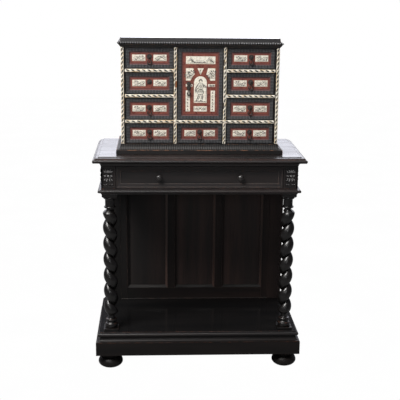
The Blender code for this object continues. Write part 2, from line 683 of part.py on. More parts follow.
def make_case():
    top = CORNICE_Z - FIT_GAP
    side_inner = CASE_X - STRIP_WIDTH - SIDE_FILLET
    for side, sign in (("left", -1), ("right", 1)):
        low_x, high_x = sorted((sign * side_inner, sign * CASE_X))
        box(f"cabinet_side_{side}", (low_x, CASE_FRONT, CASE_Z), (high_x, CASE_INNER_BACK, top), EBONY)
        low_x, high_x = sorted((sign * INNER_X, sign * OUTER_X))
        upright = box(f"divider_{side}", (low_x, CASE_FRONT, CASE_Z), (high_x, CASE_INNER_BACK, top), EBONY)
        if side == "right":
            cut_hinge_seats(upright)
        else:
            cut_strike(upright)
        low_x, high_x = sorted((sign * (OUTER_X + FIT_GAP), sign * (side_inner - FIT_GAP)))
        for row in range(1, ROWS):
            make_shelf(f"shelf_{side}_{row}", low_x, high_x, row)
    make_shelf("shelf_centre", FIT_GAP - INNER_X, INNER_X - FIT_GAP, ROWS - 1)
    low = (-CASE_X, CASE_BACK - CABINET_BACK, CASE_Z)
    box("cabinet_back", low, (CASE_X, CASE_BACK, top), EBONY)

    slope_top = (STRIP_THICKNESS - BASE_OVERHANG, CABINET_BASE_HEIGHT - FIT_GAP)
    profile = [(0, 0), (0, BASE_EDGE_HEIGHT)]
    profile += curved((-STRIP_THICKNESS, BASE_EDGE_HEIGHT), slope_top, upright_start=False)
    half, front = CASE_X + BASE_OVERHANG, CASE_FRONT - STRIP_THICKNESS - BASE_OVERHANG
    mesh = moulded_mesh("cabinet_base", profile, half, front, CASE_BACK, CABINET_Z)
    base = place("cabinet_base", mesh, EBONY)
    low = (BASE_WALL - half, front + BASE_WALL, CABINET_Z - BASE_WALL)
    high = (half - BASE_WALL, CASE_BACK - BASE_WALL, CASE_Z - BASE_FLOOR)
    combine(base, box_helper("cabinet_base_hollow", low, high), "DIFFERENCE")

    band_foot = CORNICE_LOWER_HEIGHT + CORNICE_GROOVE
    band_middle = band_foot + CORNICE_NOSE_RISE
    band_top = band_foot + CORNICE_ROUND_HEIGHT
    profile = curved((0, 0), (CORNICE_LOWER_REACH, CORNICE_LOWER_HEIGHT))
    profile += [(CORNICE_TOP_REACH, CORNICE_LOWER_HEIGHT), (CORNICE_TOP_REACH, band_foot)]
    nose = (CORNICE_OVERHANG, band_middle)
    profile += curved((CORNICE_TOP_REACH, band_foot), nose, upright_start=False)[1:]
    profile += curved(nose, (CORNICE_TOP_REACH, band_top))[1:]
    profile.append((CORNICE_TOP_REACH, CORNICE_HEIGHT))
    front = CASE_FRONT - STRIP_THICKNESS
    mesh = moulded_mesh("cabinet_top", profile, CASE_X, front, CASE_BACK, CORNICE_Z)
    place("cabinet_top", mesh, EBONY)


def row_foot(row):
    """Lower edge of a row's openings, with the rows counted from the top."""
    return CASE_Z + sum(height + STRIP_WIDTH for height in ROW_HEIGHTS[row:])


def make_shelf(name, low_x, high_x, row):
    """A shelf under the row that is counted from the top."""
    low_z = row_foot(row) - STRIP_WIDTH
    low, high = (low_x, CASE_FRONT, low_z), (high_x, CASE_INNER_BACK, low_z + STRIP_WIDTH - FIT_GAP)
    box(name, low, high, EBONY)


def hinge_heights():
    return {"upper": DOOR_Z + DOOR_HEIGHT - HINGE_INSET, "lower": DOOR_Z + HINGE_INSET}


def barrel_helper(name, radius, length, location):
    shape = bmesh.new()
    bmesh.ops.create_cone(
        shape, cap_ends=True, segments=ROUND_STEPS, radius1=radius, radius2=radius, depth=length
    )
    return helper(name, as_mesh(shape, name), location)


def leaf_corners(height, gap):
    """Corners of a hinge leaf, let into the inner face of the right upright."""
    half = BARREL_LENGTH / 2 + gap
    low = (INNER_X + FIT_GAP - gap, HINGE_Y, height - half)
    high = (INNER_X + FIT_GAP + LEAF_THICKNESS + gap, HINGE_Y + LEAF_WIDTH + gap, height + half)
    return low, high


def cut_hinge_seats(upright):
    radius, length = BARREL_RADIUS + BARREL_GAP, BARREL_LENGTH + 2 * FIT_GAP
    for name, height in hinge_heights().items():
        seat = barrel_helper(f"barrel_seat_{name}", radius, length, (HINGE_X, HINGE_Y, height))
        combine(upright, seat, "DIFFERENCE")
        low, high = leaf_corners(height, FIT_GAP)
        low = (low[0] - LEAF_THICKNESS, low[1] - BARREL_RADIUS, low[2])
        combine(upright, box_helper(f"leaf_seat_{name}", low, high), "DIFFERENCE")


def make_hinges():
    for name, height in hinge_heights().items():
        middle = (HINGE_X, HINGE_Y, height)
        barrel = barrel_helper("barrel", BARREL_RADIUS, BARREL_LENGTH, middle)
        combine(barrel, box_helper("leaf", *leaf_corners(height, 0.0)), "UNION")
        place(f"hinge_{name}", baked(barrel, f"hinge_{name}", middle), IRON, middle)


def swing_reach(depth):
    """How far from the hinge a point this deep behind the axis may lie, to clear the left upright."""
    opening = HINGE_X + INNER_X
    return math.sqrt(opening ** 2 - depth ** 2) - SWING_GAP


def bolt_place():
    """Left end, front face and middle height of the bolt at rest."""
    door_back = FRONTS_Y + DOOR_THICKNESS - HINGE_Y
    case_back = door_back + FIT_GAP + LOCK_THICKNESS
    x = HINGE_X - swing_reach(case_back)
    y = HINGE_Y + door_back + FIT_GAP + (LOCK_THICKNESS - BOLT_THICKNESS) / 2
    return x, y, DOOR_Z + LOCK_RISE


def bolt_corners(gap):
    x, y, z = bolt_place()
    low = (x, y - gap, z - BOLT_HEIGHT / 2 - gap)
    high = (x + BOLT_LENGTH + gap, y + BOLT_THICKNESS + gap, z + BOLT_HEIGHT / 2 + gap)
    return low, high


def cut_strike(upright):
    low, high = bolt_corners(STRIKE_GAP)
    low = (-INNER_X - STRIKE_DEPTH, low[1], low[2])
    combine(upright, box_helper("strike", low, (0.0, high[1], high[2])), "DIFFERENCE")


def eye_helper(name, location):
    """A ring that stands on a plate, with its hole along X."""
    bpy.ops.mesh.primitive_torus_add(
        major_segments=ROUND_STEPS, minor_segments=6, major_radius=EYE_RADIUS, minor_radius=EYE_WIRE
    )
    made = bpy.context.object
    mesh = made.data
    bpy.data.objects.remove(made)
    mesh.transform(Matrix.Rotation(math.radians(90), 4, "Y"))
    mesh.name = name
    return helper(name, mesh, location)


def eye_y(plate_thickness):
    """Middle of an eye that stands on a plate on the sunk field."""
    return FIELD_Y - plate_thickness - EYE_RADIUS - EYE_WIRE + EYE_SINK


def pull_hang(eye_height):
    """Height of a loop's upper wire when it hangs in its eye."""
    return eye_height - (EYE_RADIUS - EYE_WIRE) + PULL_WIRE + FIT_GAP


def pull_curve(name, bend, radius, length):
    """A pear-shaped loop that hangs from the origin: a tight bend over a round foot of thicker wire."""
    foot = length - radius
    lean = math.asin((radius - bend) / (foot - bend))
    points = []
    for count, size, centre, begin, finish, wire in (
        (PULL_BEND_STEPS, bend, -bend, lean, math.pi - lean, PULL_WIRE),
        (PULL_FOOT_STEPS, radius, -foot, math.pi - lean, 2 * math.pi + lean, PULL_FOOT_WIRE),
    ):
        for i in range(count + 1):
            angle = begin + (finish - begin) * i / count
            points.append((size * math.cos(angle), centre + size * math.sin(angle), wire))
    curve = bpy.data.curves.new(name, "CURVE")
    curve.dimensions = "3D"
    curve.bevel_depth = 1.0
    curve.bevel_resolution = 1
    spline = curve.splines.new("POLY")
    spline.points.add(len(points) - 1)
    for point, (x, z, wire) in zip(spline.points, points):
        point.co = (x, 0.0, z, 1.0)
        point.radius = wire
    spline.use_cyclic_u = True
    return curve


def drawer_mesh(name, opening, row_height):
    """A small drawer: framed front, tray, rosette and eye. Its origin is the foot of its face."""
    width = opening - 2 * DRAWER_SIDE_GAP
    height = row_height - FIT_GAP - DRAWER_TOP_GAP
    size, middle = between((-width / 2, 0, 0), (width / 2, FRONT_THICKNESS, height))
    front = helper("front", framed_mesh("front", size, FRONT_FRAME, FRAME_BEVEL, FRONT_RECESS), middle)

    back = CASE_INNER_BACK - TRAY_REAR_GAP - FRONTS_Y
    x = width / 2 - TRAY_INSET
    size, middle = between((-x, FRONT_THICKNESS - JOINT_OVERLAP, 0), (x, back, TRAY_HEIGHT))
    combine(front, helper("tray", tray_mesh("tray", size, TRAY_WALL, TRAY_FLOOR), middle), "UNION")

    shape = bmesh.new()
    bmesh.ops.create_cone(
        shape,
        cap_ends=True,
        segments=ROUND_STEPS,
        radius1=ROSETTE_RADIUS,
        radius2=ROSETTE_RADIUS,
        depth=ROSETTE_THICKNESS + JOINT_OVERLAP,
        matrix=Matrix.Rotation(math.radians(90), 4, "X"),
    )
    rosette_y = FRONT_RECESS + (JOINT_OVERLAP - ROSETTE_THICKNESS) / 2
    rosette_z = height / 2 + ROSETTE_RISE
    combine(front, helper("rosette", as_mesh(shape, "rosette"), (0, rosette_y, rosette_z)), "UNION")
    combine(front, eye_helper("eye", (0, eye_y(ROSETTE_THICKNESS) - FRONTS_Y, rosette_z)), "UNION")
    return baked(front, name), rosette_z


def make_drawers():
    places = [("centre", 0.0, ROWS, drawer_mesh("centre_drawer", CENTRE_OPENING, ROW_HEIGHTS[-1]))]
    for row, row_height in enumerate(ROW_HEIGHTS, start=1):
        made = drawer_mesh(f"side_drawer_{row}", SIDE_OPENING, row_height)
        places.append((f"left_{row}", -SIDE_CENTRE_X, row, made))
        places.append((f"right_{row}", SIDE_CENTRE_X, row, made))
    without_pull = "left_2"
    for name, x, row, (mesh, eye_rise) in places:
        z = row_foot(row)
        slide = carrier(f"drawer_{name}_slide", (x, FRONTS_Y, z))
        place(f"drawer_{name}", mesh, EBONY, (x, FRONTS_Y, z), slide)
        if name != without_pull:
            curve = pull_curve(f"pull_{name}", PULL_BEND, PULL_RADIUS, PULL_LENGTH)
            hang = (x, eye_y(ROSETTE_THICKNESS), pull_hang(z + eye_rise))
            place(f"pull_{name}", curve, IRON, hang, slide)


def make_door():
    hinge = carrier("door_hinge_axis", (HINGE_X, HINGE_Y, DOOR_Z))
    left = HINGE_X - swing_reach(FRONTS_Y + DOOR_THICKNESS - HINGE_Y)
    right = INNER_X - DOOR_HINGE_GAP
    low, high = (left, FRONTS_Y, DOOR_Z), (right, FRONTS_Y + DOOR_THICKNESS, DOOR_Z + DOOR_HEIGHT)
    size, middle = between(low, high)
    board = helper("board", framed_mesh("board", size, FRONT_FRAME, FRAME_BEVEL, FRONT_RECESS), middle)
    eye_z = DOOR_Z + DOOR_PULL_RISE
    plate_z = eye_z + ESCUTCHEON_RISE
    low = (DOOR_PULL_X - ESCUTCHEON_WIDTH / 2, FIELD_Y - ROSETTE_THICKNESS, plate_z - ESCUTCHEON_HEIGHT / 2)
    high = (DOOR_PULL_X + ESCUTCHEON_WIDTH / 2, FIELD_Y + JOINT_OVERLAP, plate_z + ESCUTCHEON_HEIGHT / 2)
    combine(board, box_helper("escutcheon", low, high), "UNION")
    combine(board, eye_helper("eye", (DOOR_PULL_X, eye_y(ROSETTE_THICKNESS), eye_z)), "UNION")
    place("door", baked(board, "door", hinge.location), EBONY, hinge.location, hinge)

    curve = pull_curve("door_pull", PULL_BEND, DOOR_PULL_RADIUS, DOOR_PULL_LENGTH)
    place("door_pull", curve, IRON, (DOOR_PULL_X, eye_y(ROSETTE_THICKNESS), pull_hang(eye_z)), hinge)

    x, _, z = bolt_place()
    inner_face = FRONTS_Y + DOOR_THICKNESS + FIT_GAP
    low = (x, inner_face, z - LOCK_HEIGHT / 2)
    high = (x + LOCK_LENGTH, inner_face + LOCK_THICKNESS, z + LOCK_HEIGHT / 2)
    case = box("lock_case", low, high, IRON, hinge)
    low, high = bolt_corners(FIT_GAP)
    combine(case, box_helper("bolt_way", (low[0] - BOLT_LENGTH, low[1], low[2]), high), "DIFFERENCE")
    box("lock_bolt", *bolt_corners(0.0), IRON, hinge)


make_feet()
make_base()
make_columns()
make_back()
make_rail()
make_frieze()
make_top()
make_stand_drawer()
make_case()
make_hinges()
make_drawers()
make_door()
bpy.context.view_layer.update()
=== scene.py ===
"""Looks of the collectors cabinet on its stand with twist columns.

Metres, +Z up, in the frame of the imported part. The front faces -Y. Every piece is modelled in place at the
rest pose and rides on the body that carries it.
"""
import random
from math import acos, asin, cos, exp, hypot, pi, radians, sin, sqrt

import bmesh
import bpy
from mathutils import Matrix, Vector


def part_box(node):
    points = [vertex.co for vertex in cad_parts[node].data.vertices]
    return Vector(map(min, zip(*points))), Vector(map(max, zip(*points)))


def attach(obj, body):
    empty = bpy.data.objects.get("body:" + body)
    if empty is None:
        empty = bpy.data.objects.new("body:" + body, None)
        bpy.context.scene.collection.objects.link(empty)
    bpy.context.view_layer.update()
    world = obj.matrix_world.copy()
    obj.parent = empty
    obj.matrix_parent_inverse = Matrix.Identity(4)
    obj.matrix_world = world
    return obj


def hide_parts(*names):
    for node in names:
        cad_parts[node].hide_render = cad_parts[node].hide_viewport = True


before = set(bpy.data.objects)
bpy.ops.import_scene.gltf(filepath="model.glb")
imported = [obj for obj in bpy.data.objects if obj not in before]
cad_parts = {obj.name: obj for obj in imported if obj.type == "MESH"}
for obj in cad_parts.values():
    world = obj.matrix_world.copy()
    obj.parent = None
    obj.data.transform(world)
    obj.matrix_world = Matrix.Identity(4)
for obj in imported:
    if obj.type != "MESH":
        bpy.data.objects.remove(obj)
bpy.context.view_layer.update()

# Camera, fitted to the photograph's edges
CAMERA_PLACE = (-0.18955, -3.82007, 1.67055)
CAMERA_YAW = 3.014  # degrees, turned to the right
CAMERA_PITCH = -14.031
CAMERA_ROLL = 0.66955
SENSOR_WIDTH = 36.0  # millimetres
CAMERA_LENS = 79.27
FLOOR_SIZE = 9.0

# Back of the stand
SHADE_AND_TONE_CHANGE = (-0.42, 0.15)  # from left to right of these places the back's wood turns lighter and redder; its darker left is painted shade
SILL_LIFT = 0.0095  # foot of the openings above the feet of their panels
BACK_FILLET = 0.003  # strip along the foot of the back

# Edges
EDGE_BEVEL = 0.0008  # softened arris of boards and mouldings
SOFTEN_ANGLE = 40.0  # degrees; sharper convex edges are softened
SHARP_ANGLE = 34.0  # degrees; flatter edges are shaded smooth
WEAR_ANGLE = 15.0  # degrees; narrow faces beside sharper edges have worn to brown
WEAR_WIDTH = 0.0016
ARC_STEPS = 7

# Parts of a face's normal that choose its material
TOP_FACING = 0.8  # upward, on the broad top of a board
LEDGE_FACING = 0.3  # upward or to the left, on the chamfers round the back's panels that take a painted highlight
BEVEL_FACING = 0.15  # upward or aside, on the bevels of the wide drawer that take a painted highlight
FORWARD_FACING = 0.2

# Ripple mouldings
FRONT_PERIOD = 0.0128
CORNICE_PERIOD = 0.0100
BASE_PERIOD = 0.0096
RIPPLE_STEPS = 8  # sections in each ripple
FRONT_RIPPLE = 0.0009  # depth of the ripples on the drawer fronts and the door
CORNICE_RIPPLE = 0.0026
BASE_RIPPLE = 0.0010
VALLEY_MARK = 0.25  # number that marks the valleys of ripples for the materials

# Fronts of the small drawers and of the door
FRONT_SET = 0.003  # behind the front edges of the case
FIELD_DEPTH = 0.004  # from the face of a front to its red field
FRONT_THICKNESS = 0.014
DOOR_THICKNESS = 0.016
FRAME_WIDTH = 0.0205
GROOVE_WIDTH = 0.0038  # dark groove round each front
STEP_POINTS = 5  # points of the frame's profile that step down to the field
VENEER = 0.0006  # thickness of the red field
FIELD_RIM = (0.0035, 0.0055)  # insets between which its dark rim fades
PLAQUE_RISE = 0.0005  # front of a bone plaque, before the red field
PLAQUE_SIZE = (0.0545, 0.0262)
CENTRE_PLAQUE_SIZE = (0.0480, 0.0262)
PLAQUE_GAP = 0.0335  # between the two plaques of a drawer
PLAQUE_LIFT = 0.001  # middle of the plaques above the middle of their drawer
DOOR_PLAQUE_LIFT = 0.002
DOOR_PLAQUE_MIDDLE = 0.0012
PLAQUE_CHAMFER = 0.0003
STAIN_WIDTH = 0.0040  # ochre stain along a plaque's edge
INK_RISE = 0.00006  # thickness of an engraved line's filling
INK_WIDTH = 0.0011
GRASS_STEP = 0.0030  # between the blades along the foot of a plaque
BEAD_STEP = 0.0135  # between the dots up a pilaster
CURL_STEPS = 14
STEM_STEPS = 24

# Painted highlight on the crests of ripples and carving, in thousandths of full red, green and blue
EBONY_CREST = (62, 63, 67)
CORNICE_CREST = (250, 252, 262)
BASE_CREST = (46, 44, 43)
FRONT_CREST = (66, 67, 71)
CARVED_CREST = (480, 470, 468)

# Painted shade in the valleys of ripples
VALLEY_SHADE = (0.003, 0.003, 0.003, 1.0)

# Grain of the woods
STREAK_SPOTS = (420.0, 9.0)  # to the metre, across the grain and along it
CLOUD_SPOTS = (26.0, 2.0)
FINE_GRAIN = 0.06  # strength of its bumps
TURNED_GRAIN = 0.03

# Small drawers
DRAWER_ROWS = 4
TRAY_INSET = 0.001
TRAY_HEIGHT = 0.078
TRAY_WALL = 0.006
TRAY_FLOOR = 0.005

# Iron
ROSETTE_RADIUS = 0.0116
ROSETTE_THICKNESS = 0.002
ROSETTE_RISE = 0.006  # centre of a rosette above the middle of its drawer
ROSETTE_PETALS = 8
ROSETTE_SINK = 0.0002  # of its back, behind the red field
ROSETTE_EDGE = 0.0006  # thickness at its rim
ROSETTE_PARTS = (0.96, 0.86, 0.72, 0.58, 0.46, 0.36, 0.30, 0.20, 0.10)  # radii of its rings
EYE_RADIUS = 0.0042
EYE_WIRE = 0.0012
EYE_REACH = 0.0066  # centre of an eye, before the red field
PULL_WIRE = 0.0014
PULL_AXIS = 0.0013  # a pull turns this far below its top
PULL_FOOT_WIRE = 0.0026  # the wire is thicker at the foot of the ring
PULL_BEND = 0.0034
PULL_CLOSE = 0.5  # how far past its half turn the bend closes, in radians
PULL_NECK = 0.0024  # half the space between the wires where the ring begins
PULL_RADIUS = 0.0086
DOOR_PULL_RADIUS = 0.0054
DOOR_PULL_FOOT_WIRE = 0.0030
BEND_STEPS = 8
RING_STEPS = 26
ESCUTCHEON_SIZE = (0.0185, 0.036)
ESCUTCHEON_RISE = 0.0140  # its middle above the top of its pull
ESCUTCHEON_WAIST = 0.72  # its narrowest place, in parts of its width
KEYHOLE_FOOT = 0.005  # above the middle of the escutcheon
KEYHOLE_TOP = 0.0125
KEYHOLE_WIDTH = 0.0042

# Bone strips on the edges of the case
STRIP_WIDTH = 0.0120  # of the upright strips; the level ones cover their shelves
STRIP_THICKNESS = 0.003
STRIP_ROUND = 0.0014  # how far the strip's face falls back at its edges
STRIP_POINTS = 9  # points across its face
DASH_LENGTH = 0.0165
DASH_WIDTH = 0.0064
DASH_SLOPE = 0.60  # how far across the half strip a dash reaches
LEVEL_DASH_STEP = 0.0235
UPRIGHT_DASH_STEP = 0.0185
STRIP_FILLET = 0.0045  # fillet beside the outer strips, darkened by a painted shadow of the strips
PATCH_REACH = (-0.011, 0.0165)  # worn patch in the left inner strip, from the middle of the bolt
PATCH_WIDTH = 0.0070
PATCH_SINK = 0.0008  # behind the faces of the strips
PATCH_GAP = 0.0003
STRIP_GAP = 0.0002  # between a strip and the one that it meets
HINGE_CUT = 0.0034  # what the right inner strip loses of its width beside a hinge
HINGE_GAP = 0.0006

# Stand
RAIL_INSET = 0.005  # of the drawer rail's ends
BLOCK_RISE = 0.003  # carving, before the faces of the corner blocks
SIDE_RISE = 0.006  # carving on their outer sides
CARVING_MARGIN = 0.0125
RELIEF_COLUMNS = 44
RELIEF_ROWS = 84
RELIEF_SINK = 0.0006
FRONT_RELIEF = 1.6  # the carving stands out this many times BLOCK_RISE
SIDE_RELIEF = 2.6
WIDE_RIM = 0.006  # flat rim of the wide drawer's front
WIDE_BEVEL = 0.015
WIDE_RECESS = 0.006
WIDE_TRAY_WALL = 0.010
WIDE_TRAY_FLOOR = 0.008
TWIST_PITCH = 0.0714
TWIST_PHASES = {"left": -41.0, "right": -64.0}  # degrees that the strands have turned at their upper ends
TWIST_EASE = 0.018  # length over which the strand swells from the waist
TWIST_STEPS = 36  # rings in each turn
CREST_RADIUS = 0.0308  # outside of the twisted strand
GROOVE_RADIUS = 0.0115  # bottom of the groove between its turns
LOBE_POWER = 0.58  # a smaller power makes the strand fuller and the groove narrower
COLUMN_SIDES = 40
WAIST_RADIUS = 0.0145
SQUARE_HEIGHT = 0.010
ABACUS_HEIGHT = 0.015
ABACUS_STEP = 0.003  # height of the step under it
ABACUS_INSET = 0.0022
BASE_TURNING = 0.055
CAPITAL = 0.057
BUN_STEPS = 22
FOOT_BASE = 0.030  # radius on the floor
FOOT_RADIUS = 0.054
FOOT_MIDDLE = 0.023  # height of the widest ring
FOOT_SHOULDER = 0.043
FOOT_SHOULDER_HEIGHT = 0.045
FOOT_NECK = 0.033
FOOT_COLLAR = 0.040
FOOT_COLLAR_HEIGHT = 0.008
TURN_STEPS = 48


def low(node):
    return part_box(node)[0]


def high(node):
    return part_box(node)[1]


def centre(node):
    return tuple((a + b) / 2 for a, b in zip(*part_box(node)))


CASE_FRONT = low("cabinet_side_left").y
FACE_Y = CASE_FRONT + FRONT_SET
FIELD_Y = FACE_Y + FIELD_DEPTH
PLAQUE_Y = FIELD_Y - PLAQUE_RISE
STRIP_Y = CASE_FRONT - STRIP_THICKNESS
STRIP_BACK = CASE_FRONT - 0.0001


# Material nodes


def start_material(name, roughness, specular=0.5, metallic=0.0):
    made = bpy.data.materials.new(name)
    made.use_nodes = True
    shader = made.node_tree.nodes["Principled BSDF"]
    shader.inputs["Roughness"].default_value = roughness
    shader.inputs["Specular IOR Level"].default_value = specular
    shader.inputs["Metallic"].default_value = metallic
    return made, made.node_tree, shader


def feed(tree, socket, value):
    """Links a socket to another, or gives it a constant."""
    if isinstance(value, bpy.types.NodeSocket):
        tree.links.new(value, socket)
    else:
        socket.default_value = value


def add_node(tree, kind, inputs=None, **settings):
    made = tree.nodes.new("ShaderNode" + kind)
    for key, value in settings.items():
        setattr(made, key, value)
    for key, value in (inputs or {}).items():
        feed(tree, made.inputs[key], value)
    return made


def noise(tree, spots, detail=4.0, roughness=0.5):
    """Noise in the part's own coordinates, with so many spots to the metre, or so many along X, Y and Z."""
    scale = spots if isinstance(spots, list) else [spots] * 3
    place = add_node(tree, "TexCoord").outputs["Object"]
    mapped = add_node(tree, "Mapping", {"Vector": place, "Scale": scale}).outputs["Vector"]
    inputs = {"Vector": mapped, "Scale": 1.0, "Detail": detail, "Roughness": roughness}
    return add_node(tree, "TexNoise", inputs).outputs["Fac"]


def ramp(tree, factor, *stops):
    """Colours at places from 0 to 1, in rising order."""
    made = add_node(tree, "ValToRGB", {"Fac": factor})
    points = made.color_ramp.elements
    while len(points) < len(stops):
        points.new(1.0)
    for point, (place, colour) in zip(points, stops):
        point.position = place
        point.color = (*colour, 1.0)
    return made.outputs["Color"]


def band(tree, value, start, end, first=0.0, last=1.0):
    inputs = {"Value": value, "From Min": start, "From Max": end, "To Min": first, "To Max": last}
    return add_node(tree, "MapRange", inputs, interpolation_type="SMOOTHSTEP").outputs["Result"]


def times(tree, first, second):
    made = add_node(tree, "Math", operation="MULTIPLY")
    feed(tree, made.inputs[0], first)
    feed(tree, made.inputs[1], second)
    return made.outputs["Value"]


def mix(tree, factor, first, second):
    made = add_node(tree, "Mix", data_type="RGBA")
    feed(tree, made.inputs[0], factor)
    feed(tree, made.inputs[6], first)
    feed(tree, made.inputs[7], second)
    return made.outputs[2]


def attribute(tree, name):
    return add_node(tree, "Attribute", attribute_name=name).outputs["Fac"]


def set_surface(tree, shader, colour, rub, roughness, bumps, strength, distance=0.0002):
    """Colour, roughness between two limits that follows one pattern, and bumps that follow another."""
    feed(tree, shader.inputs["Base Color"], colour)
    feed(tree, shader.inputs["Roughness"], band(tree, rub, 0.3, 0.7, *roughness))
    inputs = {"Height": bumps, "Distance": distance, "Strength": strength}
    feed(tree, shader.inputs["Normal"], add_node(tree, "Bump", inputs).outputs["Normal"])


def shade(thousandths):
    return tuple(part / 1000 for part in thousandths)


def wood(name, along, dark, light, worn, roughness, specular,
         crest_highlight=EBONY_CREST, dirt=0.5, right=None, grain=0.2):
    """Polished wood with its grain along X, Y or Z, browner on its worn arrises.

    Ripples have a painted highlight on their crests and painted shade in their valleys. A second dark and
    light may be given for the right of the stand, where the wood is redder; the darker left is painted shade.
    The grain is the strength of its bumps.
    """
    made, tree, shader = start_material(name, 0.3, specular)
    dark, light, worn, crest_highlight = (shade(colour) for colour in (dark, light, worn, crest_highlight))
    fine, broad = [STREAK_SPOTS[0]] * 3, [CLOUD_SPOTS[0]] * 3
    fine["XYZ".index(along)] = STREAK_SPOTS[1]
    broad["XYZ".index(along)] = CLOUD_SPOTS[1]
    streaks = noise(tree, fine, 5.0)
    cloud = noise(tree, broad)
    tint = ramp(tree, cloud, (0.34, dark), (0.70, light))
    # The darker left of the back is painted shade, over the parts that the key lamp reaches
    if right:
        place = add_node(tree, "TexCoord").outputs["Object"]
        across = add_node(tree, "SeparateXYZ", {"Vector": place}).outputs["X"]
        other = ramp(tree, cloud, (0.34, shade(right[0])), (0.70, shade(right[1])))
        tint = mix(tree, band(tree, across, *SHADE_AND_TONE_CHANGE), tint, other)
    pores = mix(tree, band(tree, streaks, 0.52, 0.72, 0.0, 0.6), tint, (*dark, 1.0))
    # Painted shade in the valleys of ripples, and a painted highlight on their crests and on the carving's
    # high points
    crest = attribute(tree, "crest")
    valley = mix(tree, band(tree, crest, 0.08, VALLEY_MARK, 0.0, dirt), pores, VALLEY_SHADE)
    slope = mix(tree, band(tree, crest, VALLEY_MARK, 0.65), valley, pores)
    rippled_wood = mix(tree, band(tree, crest, 0.65, 1.0, 0.0, 0.7), slope, (*crest_highlight, 1.0))
    spots = band(tree, noise(tree, 55.0, 5.0, 0.65), 0.42, 0.66, 0.0, 0.8)
    wear = times(tree, attribute(tree, "wear"), spots)
    colour = mix(tree, wear, rippled_wood, (*worn, 1.0))
    rub = noise(tree, [2.0 * scale for scale in broad])
    set_surface(tree, shader, colour, rub, roughness, streaks, grain)
    return made


def woods(name, axes, *look, **more):
    """A wood with its grain along each of the axes."""
    return {axis: wood(f"{name}_{axis.lower()}", axis, *look, **more) for axis in axes}


def make_bone():
    """Old bone: cream, with faint streaks, and ochre where grime has gathered along its edges."""
    made, tree, shader = start_material("bone", 0.38, 0.4)
    streaks = noise(tree, 160.0, 5.0, 0.6)
    creams = ((0.30, (0.52, 0.47, 0.37)), (0.52, (0.76, 0.72, 0.62)), (0.75, (0.84, 0.81, 0.74)))
    patches = band(tree, noise(tree, 70.0), 0.42, 0.66)
    stain = times(tree, attribute(tree, "stain"), patches)
    colour = mix(tree, stain, ramp(tree, streaks, *creams), (0.56, 0.36, 0.13, 1.0))
    set_surface(tree, shader, colour, streaks, (0.32, 0.5), streaks, 0.3)
    return made


def make_ink():
    """Black filling in the engraved lines, greyer where it has worn."""
    made, tree, shader = start_material("engraving", 0.6, 0.3)
    spots = noise(tree, 330.0, 3.0)
    colour = ramp(tree, spots, (0.35, (0.018, 0.017, 0.016)), (0.72, (0.11, 0.10, 0.085)))
    feed(tree, shader.inputs["Base Color"], colour)
    return made


def make_red():
    """Mottled red veneer under polish."""
    made, tree, shader = start_material("red_veneer", 0.3, 0.22)
    clouds = noise(tree, 75.0, 6.0, 0.62)
    reds = ((0.30, (0.100, 0.032, 0.025)), (0.50, (0.185, 0.056, 0.042)), (0.72, (0.245, 0.080, 0.052)))
    flecks = band(tree, noise(tree, 320.0, 3.0), 0.60, 0.72, 0.0, 0.55)
    flecked = mix(tree, flecks, ramp(tree, clouds, *reds), (0.060, 0.016, 0.012, 1.0))
    rim = times(tree, attribute(tree, "rim"), band(tree, clouds, 0.25, 0.55, 0.5, 0.9))
    colour = mix(tree, rim, flecked, (0.105, 0.045, 0.043, 1.0))
    set_surface(tree, shader, colour, clouds, (0.26, 0.42), clouds, 0.2)
    return made


def make_iron():
    """Dark wrought iron, brown where it has rusted."""
    made, tree, shader = start_material("iron", 0.5, 0.4, 0.2)
    rust = noise(tree, 420.0, 5.0, 0.65)
    browns = ((0.35, (0.018, 0.015, 0.014)), (0.55, (0.034, 0.026, 0.023)), (0.75, (0.080, 0.060, 0.050)))
    set_surface(tree, shader, ramp(tree, rust, *browns), rust, (0.36, 0.68), rust, 0.5, 0.0004)
    return made


# Woods: dark, light and worn colours in thousandths, least and most roughness, specular level
STAND_LOOK = ((10.5, 9.6, 9.6), (22, 16.5, 15.5), (170, 62, 34), (0.28, 0.38), 0.45)
DRAWER = wood("drawer_wood", "X", (12.2, 11.4, 11.6), (24, 19, 18.2), (130, 48, 28), (0.40, 0.52), 0.30)
LIT_BEVEL = wood("lit_bevel_wood", "X", (30, 28.5, 28), (48, 42.5, 40.5), (130, 70, 50), (0.36, 0.46), 0.35)
STAND = woods("stand_wood", "XY", *STAND_LOOK, grain=FINE_GRAIN)
CARVED = wood("carved_wood", "Z", *STAND_LOOK, CARVED_CREST)
TURNED = wood("turned_wood", "Z", (2.6, 2.4, 2.4), (5.6, 4.4, 4), (50, 22, 14), (0.28, 0.34), 0.52,
              grain=TURNED_GRAIN)
KNOB = wood("knob_wood", "X", (15, 13.5, 13.2), (24, 20.5, 19.5), (80, 34, 20), (0.30, 0.36), 0.55,
            grain=TURNED_GRAIN)
EDGE = wood("edge_wood", "X", (19, 12.2, 11.4), (33, 19.5, 17.5), (150, 58, 34), (0.38, 0.48), 0.18,
            grain=FINE_GRAIN)
TABLE = wood("table_wood", "X", (11, 9.6, 9.6), (24, 17, 15.5), (85, 33, 20), (0.24, 0.34), 0.40,
             grain=FINE_GRAIN)
BACK = woods("back_wood", "XZ", (5.2, 5.1, 5.2), (8.2, 7.7, 7.5), (50, 34, 28), (0.45, 0.60), 0.15,
             right=((15, 12, 11.4), (29, 19.5, 17.2)))
PANEL = wood("panel_wood", "Z", (10.5, 10.3, 10.4), (16.5, 15, 14.6), (50, 34, 28), (0.45, 0.60), 0.15,
             right=((30, 24, 22.8), (62, 38.5, 33.5)))
LIT_LEDGE = wood("lit_ledge_wood", "X", (33, 32, 31), (50, 48, 46), (80, 60, 50), (0.36, 0.48), 0.30)
